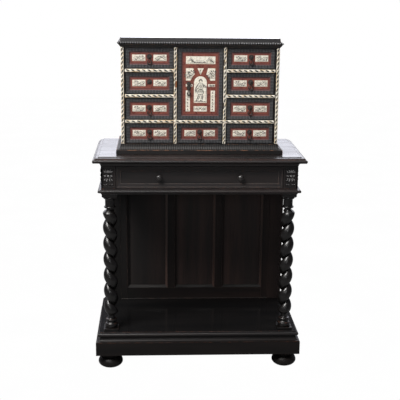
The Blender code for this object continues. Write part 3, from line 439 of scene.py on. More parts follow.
LIT_SIDE = wood("lit_side_wood", "Z", (38, 24, 20), (90, 52, 41), (160, 80, 55), (0.36, 0.48), 0.30)
BOARD = wood("board_wood", "X", (5, 5, 5.3), (8, 7.5, 7.5), (40, 18, 12), (0.10, 0.15), 0.12)
PLINTH = wood("plinth_wood", "X", (5.8, 5, 4.8), (10, 7.8, 7.2), (70, 27, 16), (0.34, 0.44), 0.20)
EBONY = woods("ebony", "XYZ", (19, 19, 20), (34, 33, 33.5), (75, 42, 30), (0.34, 0.48), 0.35)
CORNICE = wood("cornice_ebony", "X", (20, 19.5, 20), (34, 32.5, 33), (140, 75, 46), (0.36, 0.48), 0.30,
               CORNICE_CREST, dirt=1.0)
BASE = wood("base_ebony", "X", (9, 8.5, 8.5), (18, 16, 15.5), (310, 145, 80), (0.42, 0.54), 0.24,
            BASE_CREST)
FRONT = woods("front_ebony", "XZ", (32, 32.5, 34.5), (52, 52, 54), (80, 55, 45), (0.36, 0.50), 0.35,
              FRONT_CREST, dirt=0.25)
LID = wood("polished_ebony", "X", (9.5, 9.5, 10), (20, 19, 19), (75, 42, 30), (0.14, 0.20), 0.50)
INNER = wood("inner_wood", "Y", (95, 50, 24), (230, 130, 65), (300, 190, 105), (0.50, 0.70), 0.25)
PATCH = wood("bare_wood", "Z", (100, 36, 14), (250, 100, 40), (340, 160, 75), (0.50, 0.70), 0.25)
BONE = make_bone()
INK = make_ink()
RED = make_red()
IRON = make_iron()


# Mesh helpers


def sharpness(edge):
    """Angle of a convex edge in radians; flat, hollow and open edges give 0 or less."""
    return edge.calc_face_angle_signed(0.0) if len(edge.link_faces) == 2 else 0.0


def face_outward(shape):
    bmesh.ops.recalc_face_normals(shape, faces=shape.faces)


def round_edges(shape, edges, width, clamp):
    settings = {"segments": 2, "profile": 0.5, "affect": "EDGES", "clamp_overlap": clamp}
    bmesh.ops.bevel(shape, geom=edges, offset=width, **settings)


def soften(shape, width=EDGE_BEVEL):
    """Rounds the sharp convex edges."""
    face_outward(shape)
    sharp = [edge for edge in shape.edges if sharpness(edge) > radians(SOFTEN_ANGLE)]
    round_edges(shape, sharp, width, clamp=True)


def face_height(face):
    return face.calc_center_median().z


def give_material(shape, index, chosen):
    """Gives another of the piece's materials to the faces that pass a test."""
    for face in shape.faces:
        if chosen(face):
            face.material_index = index


def polish_top(shape, least):
    """Gives the second material to a board's top and its gentle slopes, above a height."""
    face_outward(shape)
    give_material(shape, 1, lambda face: face.normal.z > TOP_FACING and face_height(face) > least)


def layer(kind, name):
    """A number for the materials, kept at each point or at each corner of each face."""
    return kind.layers.float.get(name) or kind.layers.float.new(name)


def mark_wear(shape):
    """Notes the narrow faces along sharp arrises, which have worn."""
    wear = layer(shape.loops, "wear")
    crest = layer(shape.verts, "crest")
    for face in shape.faces:
        if any(vertex[crest] for vertex in face.verts):
            continue
        arris = max(face.edges, key=sharpness)
        width = face.calc_area() / arris.calc_length()
        if width < WEAR_WIDTH and sharpness(arris) > radians(WEAR_ANGLE):
            for corner in face.loops:
                corner[wear] = 1.0


def finish_piece(name, shape, materials, replaces=(), body="carcase"):
    """Turns a bmesh into a piece that rides on a body, and stands for CAD nodes if any are named."""
    face_outward(shape)
    mark_wear(shape)
    mesh = bpy.data.meshes.new(name)
    shape.to_mesh(mesh)
    shape.free()
    for material in materials:
        mesh.materials.append(material)
    mesh.shade_smooth()
    mesh.set_sharp_from_angle(angle=radians(SHARP_ANGLE))
    piece = bpy.data.objects.new(name, mesh)
    bpy.context.scene.collection.objects.link(piece)
    piece.modifiers.new("flat faces", "WEIGHTED_NORMAL").keep_sharp = True
    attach(piece, body)
    if replaces:
        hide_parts(*replaces)
    return piece


def add_box(shape, corner, far_corner, bevel=EDGE_BEVEL):
    """A board with softened arrises."""
    corner, far_corner = Vector(corner), Vector(far_corner)
    place = Matrix.Translation((corner + far_corner) / 2) @ Matrix.Diagonal((*(far_corner - corner), 1.0))
    made = bmesh.ops.create_cube(shape, size=1.0, matrix=place)["verts"]
    edges = list(dict.fromkeys(edge for vertex in made for edge in vertex.link_edges))
    round_edges(shape, edges, bevel, clamp=False)


def add_loft(shape, rings, endless=False):
    """A skin through rings of points. It is closed by flat ends, or by joining the last ring to the first."""
    rows = [[shape.verts.new(point) for point in ring] for ring in rings]
    for lower, upper in zip(rows, rows[1:] + (rows[:1] if endless else [])):
        for i in range(len(lower)):
            j = (i + 1) % len(lower)
            shape.faces.new((lower[i], lower[j], upper[j], upper[i]))
    if not endless:
        shape.faces.new(rows[0][::-1])
        shape.faces.new(rows[-1])
    return rows


def join_rows(shape, rows):
    """Faces between neighbouring rows of points."""
    for lower, upper in zip(rows, rows[1:]):
        for i in range(len(lower) - 1):
            shape.faces.new((lower[i], lower[i + 1], upper[i + 1], upper[i]))


def circle(count):
    return [2 * pi * i / count for i in range(count)]


def evenly(start, end, steps):
    """Values from start to end, in even steps."""
    return [start + (end - start) * i / steps for i in range(steps + 1)]


def add_turned(shape, profile, place, steps=TURN_STEPS):
    """A profile of (radius, height) turned about the Z axis of a place."""
    rings = []
    for radius, height in profile:
        ring = [Vector((radius * cos(a), radius * sin(a), height)) for a in circle(steps)]
        rings.append([place @ point for point in ring])
    add_loft(shape, rings)


def add_wire(shape, points, radii, normal, sides=12):
    """A round wire along a closed loop of points in a plane with this normal."""
    normal = Vector(normal)
    rings = []
    for i, (point, radius) in enumerate(zip(points, radii)):
        across = (points[(i + 1) % len(points)] - points[i - 1]).normalized().cross(normal)
        rings.append([point + radius * (cos(a) * across + sin(a) * normal) for a in circle(sides)])
    add_loft(shape, rings, endless=True)


def arc(start, end, upright_start=True, steps=ARC_STEPS):
    """Points of a quarter ellipse, upright at one end and level at the other."""
    corner = (end[0], start[1]) if upright_start else (start[0], end[1])
    points = []
    for angle in evenly(0.0, pi / 2, steps):
        near, far = cos(angle), sin(angle)
        points.append(tuple(c + near * (s - c) + far * (e - c) for c, s, e in zip(corner, start, end)))
    return points


def bulge(inner, outer, foot, top, steps=2 * ARC_STEPS):
    """Points of (radius, height) round a ring, from its foot to its top."""
    middle, half = (foot + top) / 2, (top - foot) / 2
    angles = [pi * (i / steps - 0.5) for i in range(steps + 1)]
    return [(inner + (outer - inner) * cos(a), middle + half * sin(a)) for a in angles]


def moulding_stops(lengths, period, closed):
    """Stops along the sides of a moulding, as (side, part of that side), close enough for its ripples."""
    stops = []
    for side, length in enumerate(lengths):
        steps = RIPPLE_STEPS * round(length / period) if period else 1
        last = 0 if closed or side + 1 < len(lengths) else 1
        stops += [(side, i / steps) for i in range(steps + last)]
    return stops


def ripple_depth(place, period):
    """From 0 on a crest to 1 in a valley, at a distance from the middle of a side."""
    return 0.5 - 0.5 * cos(2 * pi * place / period)


def crest_mark(wave, ripple):
    """Number for the materials: 0 off the ripples, on them from VALLEY_MARK in a valley to 1 on a crest."""
    return VALLEY_MARK + (1 - VALLEY_MARK) * (1 - wave) if ripple else 0.0


def profile_normals(profile):
    """Outward directions of a profile that runs from its foot to its top."""
    normals = []
    for i in range(len(profile)):
        before, after = profile[max(i - 1, 0)], profile[min(i + 1, len(profile) - 1)]
        normals.append(Vector((after[1] - before[1], before[0] - after[0])).normalized())
    return normals


def add_moulding(shape, profile, half, front, back, bottom, period=None):
    """A board moulded along its left, front and right. The profile is (reach, height, ripple), foot first."""
    deep = back - front
    stops = moulding_stops((deep, 2 * half, deep), period, closed=False)
    crest = layer(shape.verts, "crest")
    rows = []
    for (reach, height, ripple), normal in zip(profile, profile_normals(profile)):
        row = []
        for side, part in stops:
            length = 2 * (half + reach) if side == 1 else deep + reach
            wave = ripple_depth((part - 0.5) * length, period) if ripple else 0.0
            out = reach - ripple * wave * normal.x
            x, y = half + out, front - out
            if side == 0:
                point = (-x, back + (y - back) * part)
            elif side == 1:
                point = (x * (2 * part - 1), y)
            else:
                point = (x, y + (back - y) * part)
            row.append(shape.verts.new((*point, bottom + height - ripple * wave * normal.y)))
            row[-1][crest] = crest_mark(wave, ripple)
        rows.append(row)
    join_rows(shape, rows)
    shape.faces.new(rows[0][::-1])
    shape.faces.new(rows[-1])
    shape.faces.new([row[0] for row in rows] + [row[-1] for row in reversed(rows)])


def add_frame(shape, corner, far_corner, face, profile, hollow=False, period=None):
    """A mitred frame between two (x, z) corners. The profile is (inset, depth, ripple), outer edge first.

    Its first and last rings are filled in, so that it is a panel, or are joined, so that it is hollow.
    """
    width, height = far_corner[0] - corner[0], far_corner[1] - corner[1]
    stops = moulding_stops((width, height, width, height), period, closed=True)
    crest = layer(shape.verts, "crest")
    rings = []
    marks = []
    for inset, depth, ripple in profile:
        left, right = corner[0] + inset, far_corner[0] - inset
        foot, top = corner[1] + inset, far_corner[1] - inset
        starts = ((left, foot), (right, foot), (right, top), (left, top))
        ring = []
        for side, part in stops:
            start, end = starts[side], starts[(side + 1) % 4]
            x, z = (a + (b - a) * part for a, b in zip(start, end))
            length = top - foot if side % 2 else right - left
            wave = ripple_depth((part - 0.5) * length, period) if ripple else 0.0
            ring.append((x, face + depth + ripple * wave, z))
            marks.append(crest_mark(wave, ripple))
        rings.append(ring)
    rows = add_loft(shape, rings, endless=hollow)
    for vertex, mark in zip((vertex for row in rows for vertex in row), marks):
        vertex[crest] = mark
    return rows


def plain(points):
    return [(*point, 0.0) for point in points]


def rippled(points, depth):
    return [(*point, depth) for point in points]


def add_plate(shape, outline, front, thickness):
    """A flat plaque with the outline (x, z), anticlockwise from the front, chamfered, with a stained rim."""
    stain = layer(shape.verts, "stain")
    back = [shape.verts.new((x, front + thickness, z)) for x, z in outline]
    rim = [shape.verts.new((x, front + PLAQUE_CHAMFER, z)) for x, z in outline]
    for i in range(len(rim)):
        j = (i + 1) % len(rim)
        shape.faces.new((back[i], back[j], rim[j], rim[i]))
    shape.faces.new(back[::-1])
    face = shape.faces.new(rim)
    face.normal_update()
    inset = {"faces": [face], "use_even_offset": True}
    bmesh.ops.inset_region(shape, thickness=PLAQUE_CHAMFER, depth=PLAQUE_CHAMFER, **inset)
    edge = list(face.verts)
    bmesh.ops.inset_region(shape, thickness=STAIN_WIDTH, **inset)
    for vertex in back + rim + edge:
        vertex[stain] = 1.0
    for vertex in face.verts:
        vertex[stain] = 0.0


def add_stroke(shape, points, width, level, steps=1, material=1):
    """An inked line along (x, z) points that swells in its middle.

    level(x, z) is the surface that it lies on, which it follows in so many steps across.
    """
    rings = []
    last = len(points) - 1
    for i, (x, z) in enumerate(points):
        before, after = points[max(i - 1, 0)], points[min(i + 1, last)]
        along = Vector((after[0] - before[0], after[1] - before[1])).normalized()
        half = width / 2 * (0.25 + 0.75 * sin(pi * i / last))
        aside = Vector((-along.y, along.x)) * half
        face = [(x + part * aside.x, z + part * aside.y) for part in evenly(1.0, -1.0, steps)]
        ring = [(u, level(u, v) - INK_RISE, v) for u, v in face]
        ring += [(u, level(u, v) + INK_RISE, v) for u, v in reversed(face)]
        rings.append(ring)
    before = set(shape.faces)
    add_loft(shape, rings)
    for face in set(shape.faces) - before:
        face.material_index = material


# Camera, light and floor


def make_camera():
    yaw, pitch, roll = (radians(a) for a in (CAMERA_YAW, CAMERA_PITCH, CAMERA_ROLL))
    ahead = Vector((sin(yaw) * cos(pitch), cos(yaw) * cos(pitch), sin(pitch)))
    right = Vector((cos(yaw), -sin(yaw), 0.0))
    up = right.cross(ahead)
    across = cos(roll) * right + sin(roll) * up
    upright = cos(roll) * up - sin(roll) * right
    camera = bpy.data.objects.new("camera", bpy.data.cameras.new("camera"))
    turn = Matrix((across, upright, -ahead)).transposed().to_4x4()
    camera.matrix_world = Matrix.Translation(CAMERA_PLACE) @ turn
    camera.data.sensor_width = SENSOR_WIDTH
    camera.data.lens = CAMERA_LENS
    bpy.context.scene.collection.objects.link(camera)
    bpy.context.scene.camera = camera


def make_light(name, place, target, size, power, colour):
    """A softbox that shines on a target and is not itself seen."""
    data = bpy.data.lights.new(name, "AREA")
    data.shape = "RECTANGLE"
    data.size, data.size_y = size
    data.energy = power
    data.color = colour
    light = bpy.data.objects.new(name, data)
    light.location = place
    light.rotation_euler = (Vector(target) - Vector(place)).to_track_quat("-Z", "Y").to_euler()
    light.visible_camera = False
    bpy.context.scene.collection.objects.link(light)


def camera_white(tree, other, shader, colour):
    """A shader that the camera sees as glowing white, and every other ray as the one given."""
    ray = add_node(tree, "LightPath").outputs["Is Camera Ray"]
    white = add_node(tree, shader, {"Color": colour, "Strength": 1.0}).outputs[0]
    return add_node(tree, "MixShader", {0: ray, 1: other, 2: white}).outputs[0]


def make_world():
    """A white room, darker in front of the cabinet than behind it, that the camera sees as plain white."""
    world = bpy.data.worlds.new("studio")
    bpy.context.scene.world = world
    world.use_nodes = True
    tree = world.node_tree
    tree.nodes.clear()
    direction = add_node(tree, "TexCoord").outputs["Generated"]
    depth = add_node(tree, "SeparateXYZ", {"Vector": direction}).outputs["Y"]
    glow = ramp(tree, band(tree, depth, -0.2, 0.8), (0.0, (0.10, 0.10, 0.11)), (1.0, (0.16, 0.16, 0.18)))
    room = add_node(tree, "Background", {"Color": glow, "Strength": 1.0}).outputs[0]
    seen = camera_white(tree, room, "Background", (1.0, 1.0, 1.0, 1.0))
    tree.links.new(seen, add_node(tree, "OutputWorld").inputs["Surface"])


def make_floor():
    """A pale floor that the camera sees as white, so that it runs into the white behind it."""
    made, tree, shader = start_material("floor", 0.7, 0.1)
    spots = noise(tree, 3.0, 3.0)
    grey = ramp(tree, spots, (0.3, (0.18, 0.18, 0.18)), (0.7, (0.21, 0.21, 0.21)))
    feed(tree, shader.inputs["Base Color"], grey)
    white = ramp(tree, spots, (0.3, (0.99, 0.99, 0.99)), (0.7, (1.0, 1.0, 1.0)))
    seen = camera_white(tree, shader.outputs[0], "Emission", white)
    tree.links.new(seen, tree.nodes["Material Output"].inputs["Surface"])
    shape = bmesh.new()
    bmesh.ops.create_grid(shape, x_segments=2, y_segments=2, size=FLOOR_SIZE)
    mesh = bpy.data.meshes.new("floor")
    shape.to_mesh(mesh)
    shape.free()
    mesh.materials.append(made)
    floor = bpy.data.objects.new("floor", mesh)
    bpy.context.scene.collection.objects.link(floor)


def make_studio():
    bpy.context.scene.view_settings.view_transform = "Standard"
    make_camera()
    make_world()
    make_floor()
    middle = (0.0, 0.0, 1.1)
    make_light("key", (-2.0, -2.2, 4.3), middle, (2.1, 2.1), 330.0, (1.0, 0.98, 0.96))
    make_light("front", (-0.25, -4.2, 2.0), middle, (0.7, 0.5), 15.0, (0.97, 0.98, 1.0))
    make_light("overhead", (0.0, 0.3, 4.0), (0.0, 0.0, 0.0), (4.0, 4.0), 60.0, (1.0, 1.0, 1.0))
    make_light("behind", (0.0, 1.5, 1.70), (0.0, 0.0, 1.70), (5.0, 1.16), 60.0, (0.90, 0.91, 1.0))


# Stand


def make_boards():
    """Plain boards of the stand and of the case, with softened and worn arrises."""
    boards = {
        "plinth": PLINTH,
        "frieze_side_left": STAND["Y"],
        "frieze_side_right": STAND["Y"],
        "frieze_back": STAND["X"],
        "back_panel_left": PANEL,
        "back_panel_centre": PANEL,
        "back_panel_right": PANEL,
        "cabinet_side_left": EBONY["Z"],
        "cabinet_side_right": EBONY["Z"],
        "cabinet_back": EBONY["X"],
    }
    for node, material in boards.items():
        shape = bmesh.new()
        add_box(shape, *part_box(node))
        # The case sides' front edges take the dark board wood: a painted shadow of the outer strips on the
        # fillet beside them
        if node.startswith("cabinet_side"):
            min(shape.faces, key=lambda face: face.calc_center_median().y).material_index = 1
        finish_piece(f"{node}_board", shape, [material, BOARD], [node])


def make_feet():
    """Bun feet: a bulge with a flat shoulder under a hollow neck and a collar."""
    lower, upper = -acos(FOOT_BASE / FOOT_RADIUS), acos(FOOT_SHOULDER / FOOT_RADIUS)
    fall = FOOT_MIDDLE / sin(-lower)
    rise = (FOOT_SHOULDER_HEIGHT - FOOT_MIDDLE) / sin(upper)
    bun = []
    for angle in evenly(lower, upper, BUN_STEPS):
        half = rise if angle > 0 else fall
        bun.append((FOOT_RADIUS * cos(angle), FOOT_MIDDLE + half * sin(angle)))
    for node in ("foot_front_left", "foot_front_right", "foot_rear_left", "foot_rear_right"):
        x, y, _ = centre(node)
        top = high(node)
        collar = top.z - FOOT_COLLAR_HEIGHT
        profile = bun + [(FOOT_NECK + 0.0006, FOOT_SHOULDER_HEIGHT)]
        profile += arc((FOOT_NECK, FOOT_SHOULDER_HEIGHT + 0.0006), (FOOT_COLLAR - 0.0020, collar))
        profile += bulge(FOOT_COLLAR - 0.0014, FOOT_COLLAR, collar + 0.0003, top.z)
        shape = bmesh.new()
        add_turned(shape, profile, Matrix.Translation((x, y, 0.0)))
        finish_piece(f"{node}_bun", shape, [PLINTH], [node])


def strand_ring(height, turn, swell):
    """A ring of the strand: its crest lies at the angle turn and its groove opposite."""
    ring = []
    for around in circle(COLUMN_SIDES):
        full = GROOVE_RADIUS + (CREST_RADIUS - GROOVE_RADIUS) * abs(cos(around / 2)) ** LOBE_POWER
        radius = WAIST_RADIUS + (full - WAIST_RADIUS) * swell
        ring.append((radius * cos(turn + around), radius * sin(turn + around), height))
    return ring


def column_twist(phase, foot, top):
    """Rings of the left column's strand, about the column's axis."""
    count = round(TWIST_STEPS * (top - foot) / TWIST_PITCH)
    rings = []
    for i in range(count + 1):
        height = foot + (top - foot) * i / count
        ease = min(1.0, (height - foot) / TWIST_EASE, (top - height) / TWIST_EASE)
        turn = pi + radians(phase) + 2 * pi * (top - height) / TWIST_PITCH
        rings.append(strand_ring(height, turn, sin(ease * pi / 2)))
    return rings


def make_columns():
    """Twist columns with turned bases and capitals. The right one is the left one's mirror image."""
    for side, hand in (("left", -1), ("right", 1)):
        node = f"column_{side}"
        foot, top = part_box(node)
        x, y, _ = centre(node)
        axis = Vector((x, y, 0.0))
        place = Matrix.Translation(axis)
        square, abacus = foot.z + SQUARE_HEIGHT, top.z - ABACUS_HEIGHT
        twist_foot, twist_top = square + BASE_TURNING, abacus - CAPITAL
        shape = bmesh.new()
        add_box(shape, foot, (top.x, top.y, square))
        add_box(shape, (foot.x, foot.y, abacus + ABACUS_STEP), top)
        inset = Vector((ABACUS_INSET, ABACUS_INSET, 0.0))
        step_top = Vector((top.x, top.y, abacus + 2 * ABACUS_STEP))
        add_box(shape, Vector((foot.x, foot.y, abacus)) + inset, step_top - inset)
        base = [(0.0245, square - 0.001)]
        base += bulge(0.0240, 0.0280, square, square + 0.0195)
        base += [(0.0215, square + 0.0210), (0.0200, square + 0.0232), (0.0200, square + 0.0266)]
        base += bulge(0.0208, 0.0245, square + 0.0288, square + 0.0392)
        base += arc((0.0195, square + 0.0400), (WAIST_RADIUS, square + 0.0450), upright_start=False)
        base.append((WAIST_RADIUS, twist_foot + 0.002))
        add_turned(shape, base, place)
        capital = [(WAIST_RADIUS, twist_top - 0.002)]
        capital += arc((WAIST_RADIUS, twist_top + 0.002), (0.0195, twist_top + 0.0058))
        capital += bulge(0.0205, 0.0245, twist_top + 0.0062, twist_top + 0.0148)
        capital += [(0.0205, twist_top + 0.0155), (0.0200, twist_top + 0.0175)]
        capital += arc((0.0200, twist_top + 0.0400), (0.0225, twist_top + 0.0462))
        capital += bulge(0.0240, 0.0280, twist_top + 0.0470, abacus + 0.0005)
        add_turned(shape, capital, place)
        rings = column_twist(TWIST_PHASES[side], twist_foot, twist_top)
        add_loft(shape, [[axis + Vector((-hand * x, y, z)) for x, y, z in ring] for ring in rings])
        finish_piece(f"{node}_twist", shape, [TURNED], [node])


def make_back():
    """The stand's back: posts, stiles, rails, muntins, chamfers round its panels and a strip at its foot."""
    foot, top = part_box("back_frame")
    foot.z = high("base_board").z
    panels = [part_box(f"back_panel_{name}") for name in ("left", "centre", "right")]
    lap, joint, bevel = 0.0003, 0.0002, 0.0006
    shoulder, slope, fall = 0.014, 0.0105, 0.0072
    openings = [(a.x - lap, b.x + lap) for a, b in panels]
    sill, head = panels[0][0].z + SILL_LIFT, panels[0][1].z + lap
    post = 0.064
    uprights = [(foot.x, foot.x + post), (foot.x + post, openings[0][0])]
    uprights += [(top.x - post, top.x), (openings[2][1], top.x - post)]
    muntins = [(openings[0][1], openings[1][0]), (openings[1][1], openings[2][0])]
    shape = bmesh.new()
    for left, right in uprights:
        add_box(shape, (left + joint, foot.y, foot.z), (right - joint, top.y, top.z), bevel)
    for left, right in muntins:
        add_box(shape, (left + joint, foot.y, sill), (right - joint, top.y, head), bevel)
    finish_piece("back_uprights", shape, [BACK["Z"]], ["back_frame"])
    shape = bmesh.new()
    for lower, upper in ((foot.z, sill), (head, top.z)):
        corner = (openings[0][0] + joint, foot.y, lower + joint)
        add_box(shape, corner, (openings[2][1] - joint, top.y, upper - joint), bevel)
    finish_piece("back_rails", shape, [BACK["X"]])
    shape = bmesh.new()
    profile = [(joint, shoulder), (joint, 0.0008), (0.0006, 0.0002), (0.0014, 0.0004)]
    profile += [(slope - 0.0008, fall - 0.0002), (slope, fall), (slope, shoulder)]
    for left, right in openings:
        add_frame(shape, (left, sill), (right, head), foot.y, plain(profile), hollow=True)
    corner = (foot.x + post, foot.y - BACK_FILLET, foot.z)
    add_box(shape, corner, (top.x - post, foot.y, foot.z + BACK_FILLET))
    face_outward(shape)
    # Faces that turn left, towards the key lamp, or up take paler woods: painted highlights on the chamfers
    # and on the strip at the foot
    give_material(shape, 2, lambda face: face.normal.x < -LEDGE_FACING)
    give_material(shape, 1, lambda face: face.normal.z > LEDGE_FACING)
    finish_piece("back_mouldings", shape, [BACK["Z"], LIT_LEDGE, LIT_SIDE])


def make_stand_mouldings():
    """Top board, drawer rail and base board."""
    foot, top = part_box("stand_top")
    height = top.z - foot.z
    profile = arc((-0.0330, 0.0), (-0.0140, 0.0165)) + [(-0.0015, 0.0170)]
    profile += bulge(-0.0070, 0.0, 0.0172, 0.0306)
    profile += [(-0.0078, 0.0310), (-0.0080, 0.0320)]
    profile += arc((-0.0084, 0.0324), (-0.0150, 0.0372), steps=14) + [(-0.0228, 0.0383)]
    profile += arc((-0.0230, 0.0385), (-0.0268, height), steps=10)
    shape = bmesh.new()
    add_moulding(shape, plain(profile), top.x, foot.y, top.y, foot.z)
    soften(shape)
    polish_top(shape, foot.z + height / 2)
    ovolo_foot, ovolo_top = foot.z + 0.0308, foot.z + 0.0380

    def on_ovolo(face):
        return face.normal.z <= TOP_FACING and ovolo_foot < face_height(face) < ovolo_top

    give_material(shape, 2, on_ovolo)
    finish_piece("stand_top_board", shape, [STAND["X"], TABLE, EDGE], ["stand_top"])

    foot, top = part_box("drawer_rail")
    height = top.z - foot.z
    nose = 0.0065
    profile = arc((-0.014, 0.0), (-0.0075, 0.0062)) + [(-nose, 0.0066)]
    profile += bulge(-nose, 0.0, 0.0070, 0.0200)
    profile += [(-0.0135, 0.0202), (-0.014, 0.0206), (-0.014, height)]
    shape = bmesh.new()
    add_moulding(shape, plain(profile), top.x - RAIL_INSET, foot.y, top.y, foot.z)
    soften(shape, 0.0005)
    finish_piece("drawer_rail_board", shape, [STAND["X"]], ["drawer_rail"])

    foot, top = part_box("base_board")
    height = top.z - foot.z
    spread = 0.005
    profile = [(spread, 0.0), (spread, 0.0015)]
    profile += arc((spread - 0.0006, 0.002), (-0.011, 0.0200), upright_start=False)
    cove_top = 0.0240
    profile += [(-0.011, cove_top), (-0.009, 0.0245)]
    profile += bulge(-0.008, 0.0, 0.0248, 0.0412)
    profile += [(-0.0085, 0.0416), (-0.0085, height)]
    shape = bmesh.new()
    add_moulding(shape, plain(profile), top.x - spread, foot.y + spread, top.y, foot.z)
    soften(shape)
    polish_top(shape, foot.z + height / 2)
    give_material(shape, 2, lambda face: face_height(face) < foot.z + cove_top)
    finish_piece("base_board_moulded", shape, [STAND["X"], BOARD, PLINTH], ["base_board"])


# Leaves and bosses of the corner carving: middle across and up, lean from upright, length, width, height
CARVED_SHAPES = [(0.5, 0.835, 0, 0.15, 0.10, 1.0), (0.5, 0.575, 0, 0.085, 0.16, 1.0)]
for hand in (-1, 1):
    CARVED_SHAPES += [
        (0.5 + hand * 0.17, 0.83, hand * 18, 0.15, 0.09, 0.95),
        (0.5 + hand * 0.34, 0.81, hand * 38, 0.13, 0.09, 0.9),
        (0.5 + hand * 0.31, 0.575, 0, 0.075, 0.14, 0.95),
        (0.5 + hand * 0.13, 0.35, hand * -12, 0.15, 0.085, 0.95),
        (0.5 + hand * 0.33, 0.37, hand * -34, 0.13, 0.085, 0.9),
        (0.5 + hand * 0.38, 0.10, hand * 60, 0.09, 0.075, 0.8),
        (0.5 + hand * 0.14, 0.075, hand * 30, 0.075, 0.08, 0.7),
    ]


def carving(part_across, part_up):
    """Height of the carving at a place on its panel: leaves above and below a row of bosses."""
    tallest = 0.0
    for across, up, lean, length, width, rise in CARVED_SHAPES:
        dx, dz = part_across - across, 2 * (part_up - up)
        turn = radians(lean)
        along = dx * sin(turn) + dz * cos(turn)
        aside = dx * cos(turn) - dz * sin(turn)
        inside = 1 - (along / (2 * length)) ** 2 - (aside / width) ** 2
        if inside > 0:
            groove = 0.22 * exp(-((aside / (0.25 * width)) ** 2))
            tallest = max(tallest, rise * (sqrt(inside) - groove))
    return BLOCK_RISE * tallest


def add_relief(shape, corner, across, up, out):
    """A carved panel that stands out from a face. across and up are its edges, out its direction."""
    crest = layer(shape.verts, "crest")
    rows = []
    for j in range(RELIEF_ROWS + 1):
        row = []
        for i in range(RELIEF_COLUMNS + 1):
            rim = i in (0, RELIEF_COLUMNS) or j in (0, RELIEF_ROWS)
            u, v = i / RELIEF_COLUMNS, j / RELIEF_ROWS
            height = 0.0 if rim else carving(u, v)
            lift = -RELIEF_SINK if rim else height - RELIEF_SINK / 2
            row.append(shape.verts.new(corner + u * across + v * up + lift * out))
            # The mark gives the carving's high points a painted highlight
            row[-1][crest] = crest_mark(1 - height / BLOCK_RISE, height)
        rows.append(row)
    join_rows(shape, rows)
    edge = rows[0] + [row[-1] for row in rows[1:-1]] + rows[-1][::-1] + [row[0] for row in rows[-2:0:-1]]
    shape.faces.new(edge[::-1])


def make_blocks():
    """Corner blocks of the frieze, carved in a sunk panel on the front and on the outer side."""
    for side, sign in (("left", -1), ("right", 1)):
        node = f"frieze_block_{side}"
        foot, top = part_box(node)
        foot.y += BLOCK_RISE
        if sign < 0:
            foot.x += SIDE_RISE
        else:
            top.x -= SIDE_RISE
        rim, sink, core_inset = 0.0035, 0.0022, 0.002
        shape = bmesh.new()
        add_box(shape, foot + Vector((core_inset, core_inset, 0.0)), top - Vector((core_inset, 0.0, 0.0)))
        panel = CARVING_MARGIN - rim
        profile = [(0.0, 0.006), (0.0, 0.0006), (0.0006, 0.0), (panel - 0.0012, 0.0)]
        profile += [(panel, sink), (panel + 0.001, sink + 0.0004)]
        add_frame(shape, (foot.x, foot.z), (top.x, top.z), foot.y, plain(profile))
        size = Vector((top.x - foot.x - 2 * panel, top.y - foot.y, top.z - foot.z - 2 * panel))
        floor = Vector((foot.x + panel, foot.y + sink, foot.z + panel))
        up = Vector((0, 0, size.z))
        add_relief(shape, floor, Vector((size.x, 0, 0)), up, FRONT_RELIEF * Vector((0, -1, 0)))
        side_shape = bmesh.new()
        add_frame(side_shape, (-size.y / 2, foot.z), (size.y / 2, top.z), 0.0, plain(profile))
        deep = size.y - 2 * panel
        start = Vector((-deep / 2, sink, foot.z + panel))
        add_relief(side_shape, start, Vector((deep, 0, 0)), up, SIDE_RELIEF * Vector((0, -1, 0)))
        face_x = foot.x if sign < 0 else top.x
        turn = Matrix.Rotation(sign * pi / 2, 4, "Z")
        place = Matrix.Translation((face_x, (foot.y + top.y) / 2, 0.0)) @ turn
        bmesh.ops.transform(side_shape, matrix=place, verts=side_shape.verts)
        temporary = bpy.data.meshes.new("side")
        side_shape.to_mesh(temporary)
        side_shape.free()
        shape.from_mesh(temporary)
        bpy.data.meshes.remove(temporary)
        finish_piece(f"{node}_carved", shape, [CARVED], [node])


def add_tray(shape, corner, far_corner, wall, floor):
    """A drawer's box of four boards and a bottom, open above."""
    (x0, y0, z0), (x1, y1, z1) = corner, far_corner
    bevel = 0.0005
    add_box(shape, (x0, y0, z0), (x0 + wall, y1, z1), bevel)
    add_box(shape, (x1 - wall, y0, z0), (x1, y1, z1), bevel)
    add_box(shape, (x0 + wall, y0, z0), (x1 - wall, y0 + wall, z1), bevel)
    add_box(shape, (x0 + wall, y1 - wall, z0), (x1 - wall, y1, z1), bevel)
    add_box(shape, (x0 + wall, y0 + wall, z0), (x1 - wall, y1 - wall, z0 + floor), bevel)


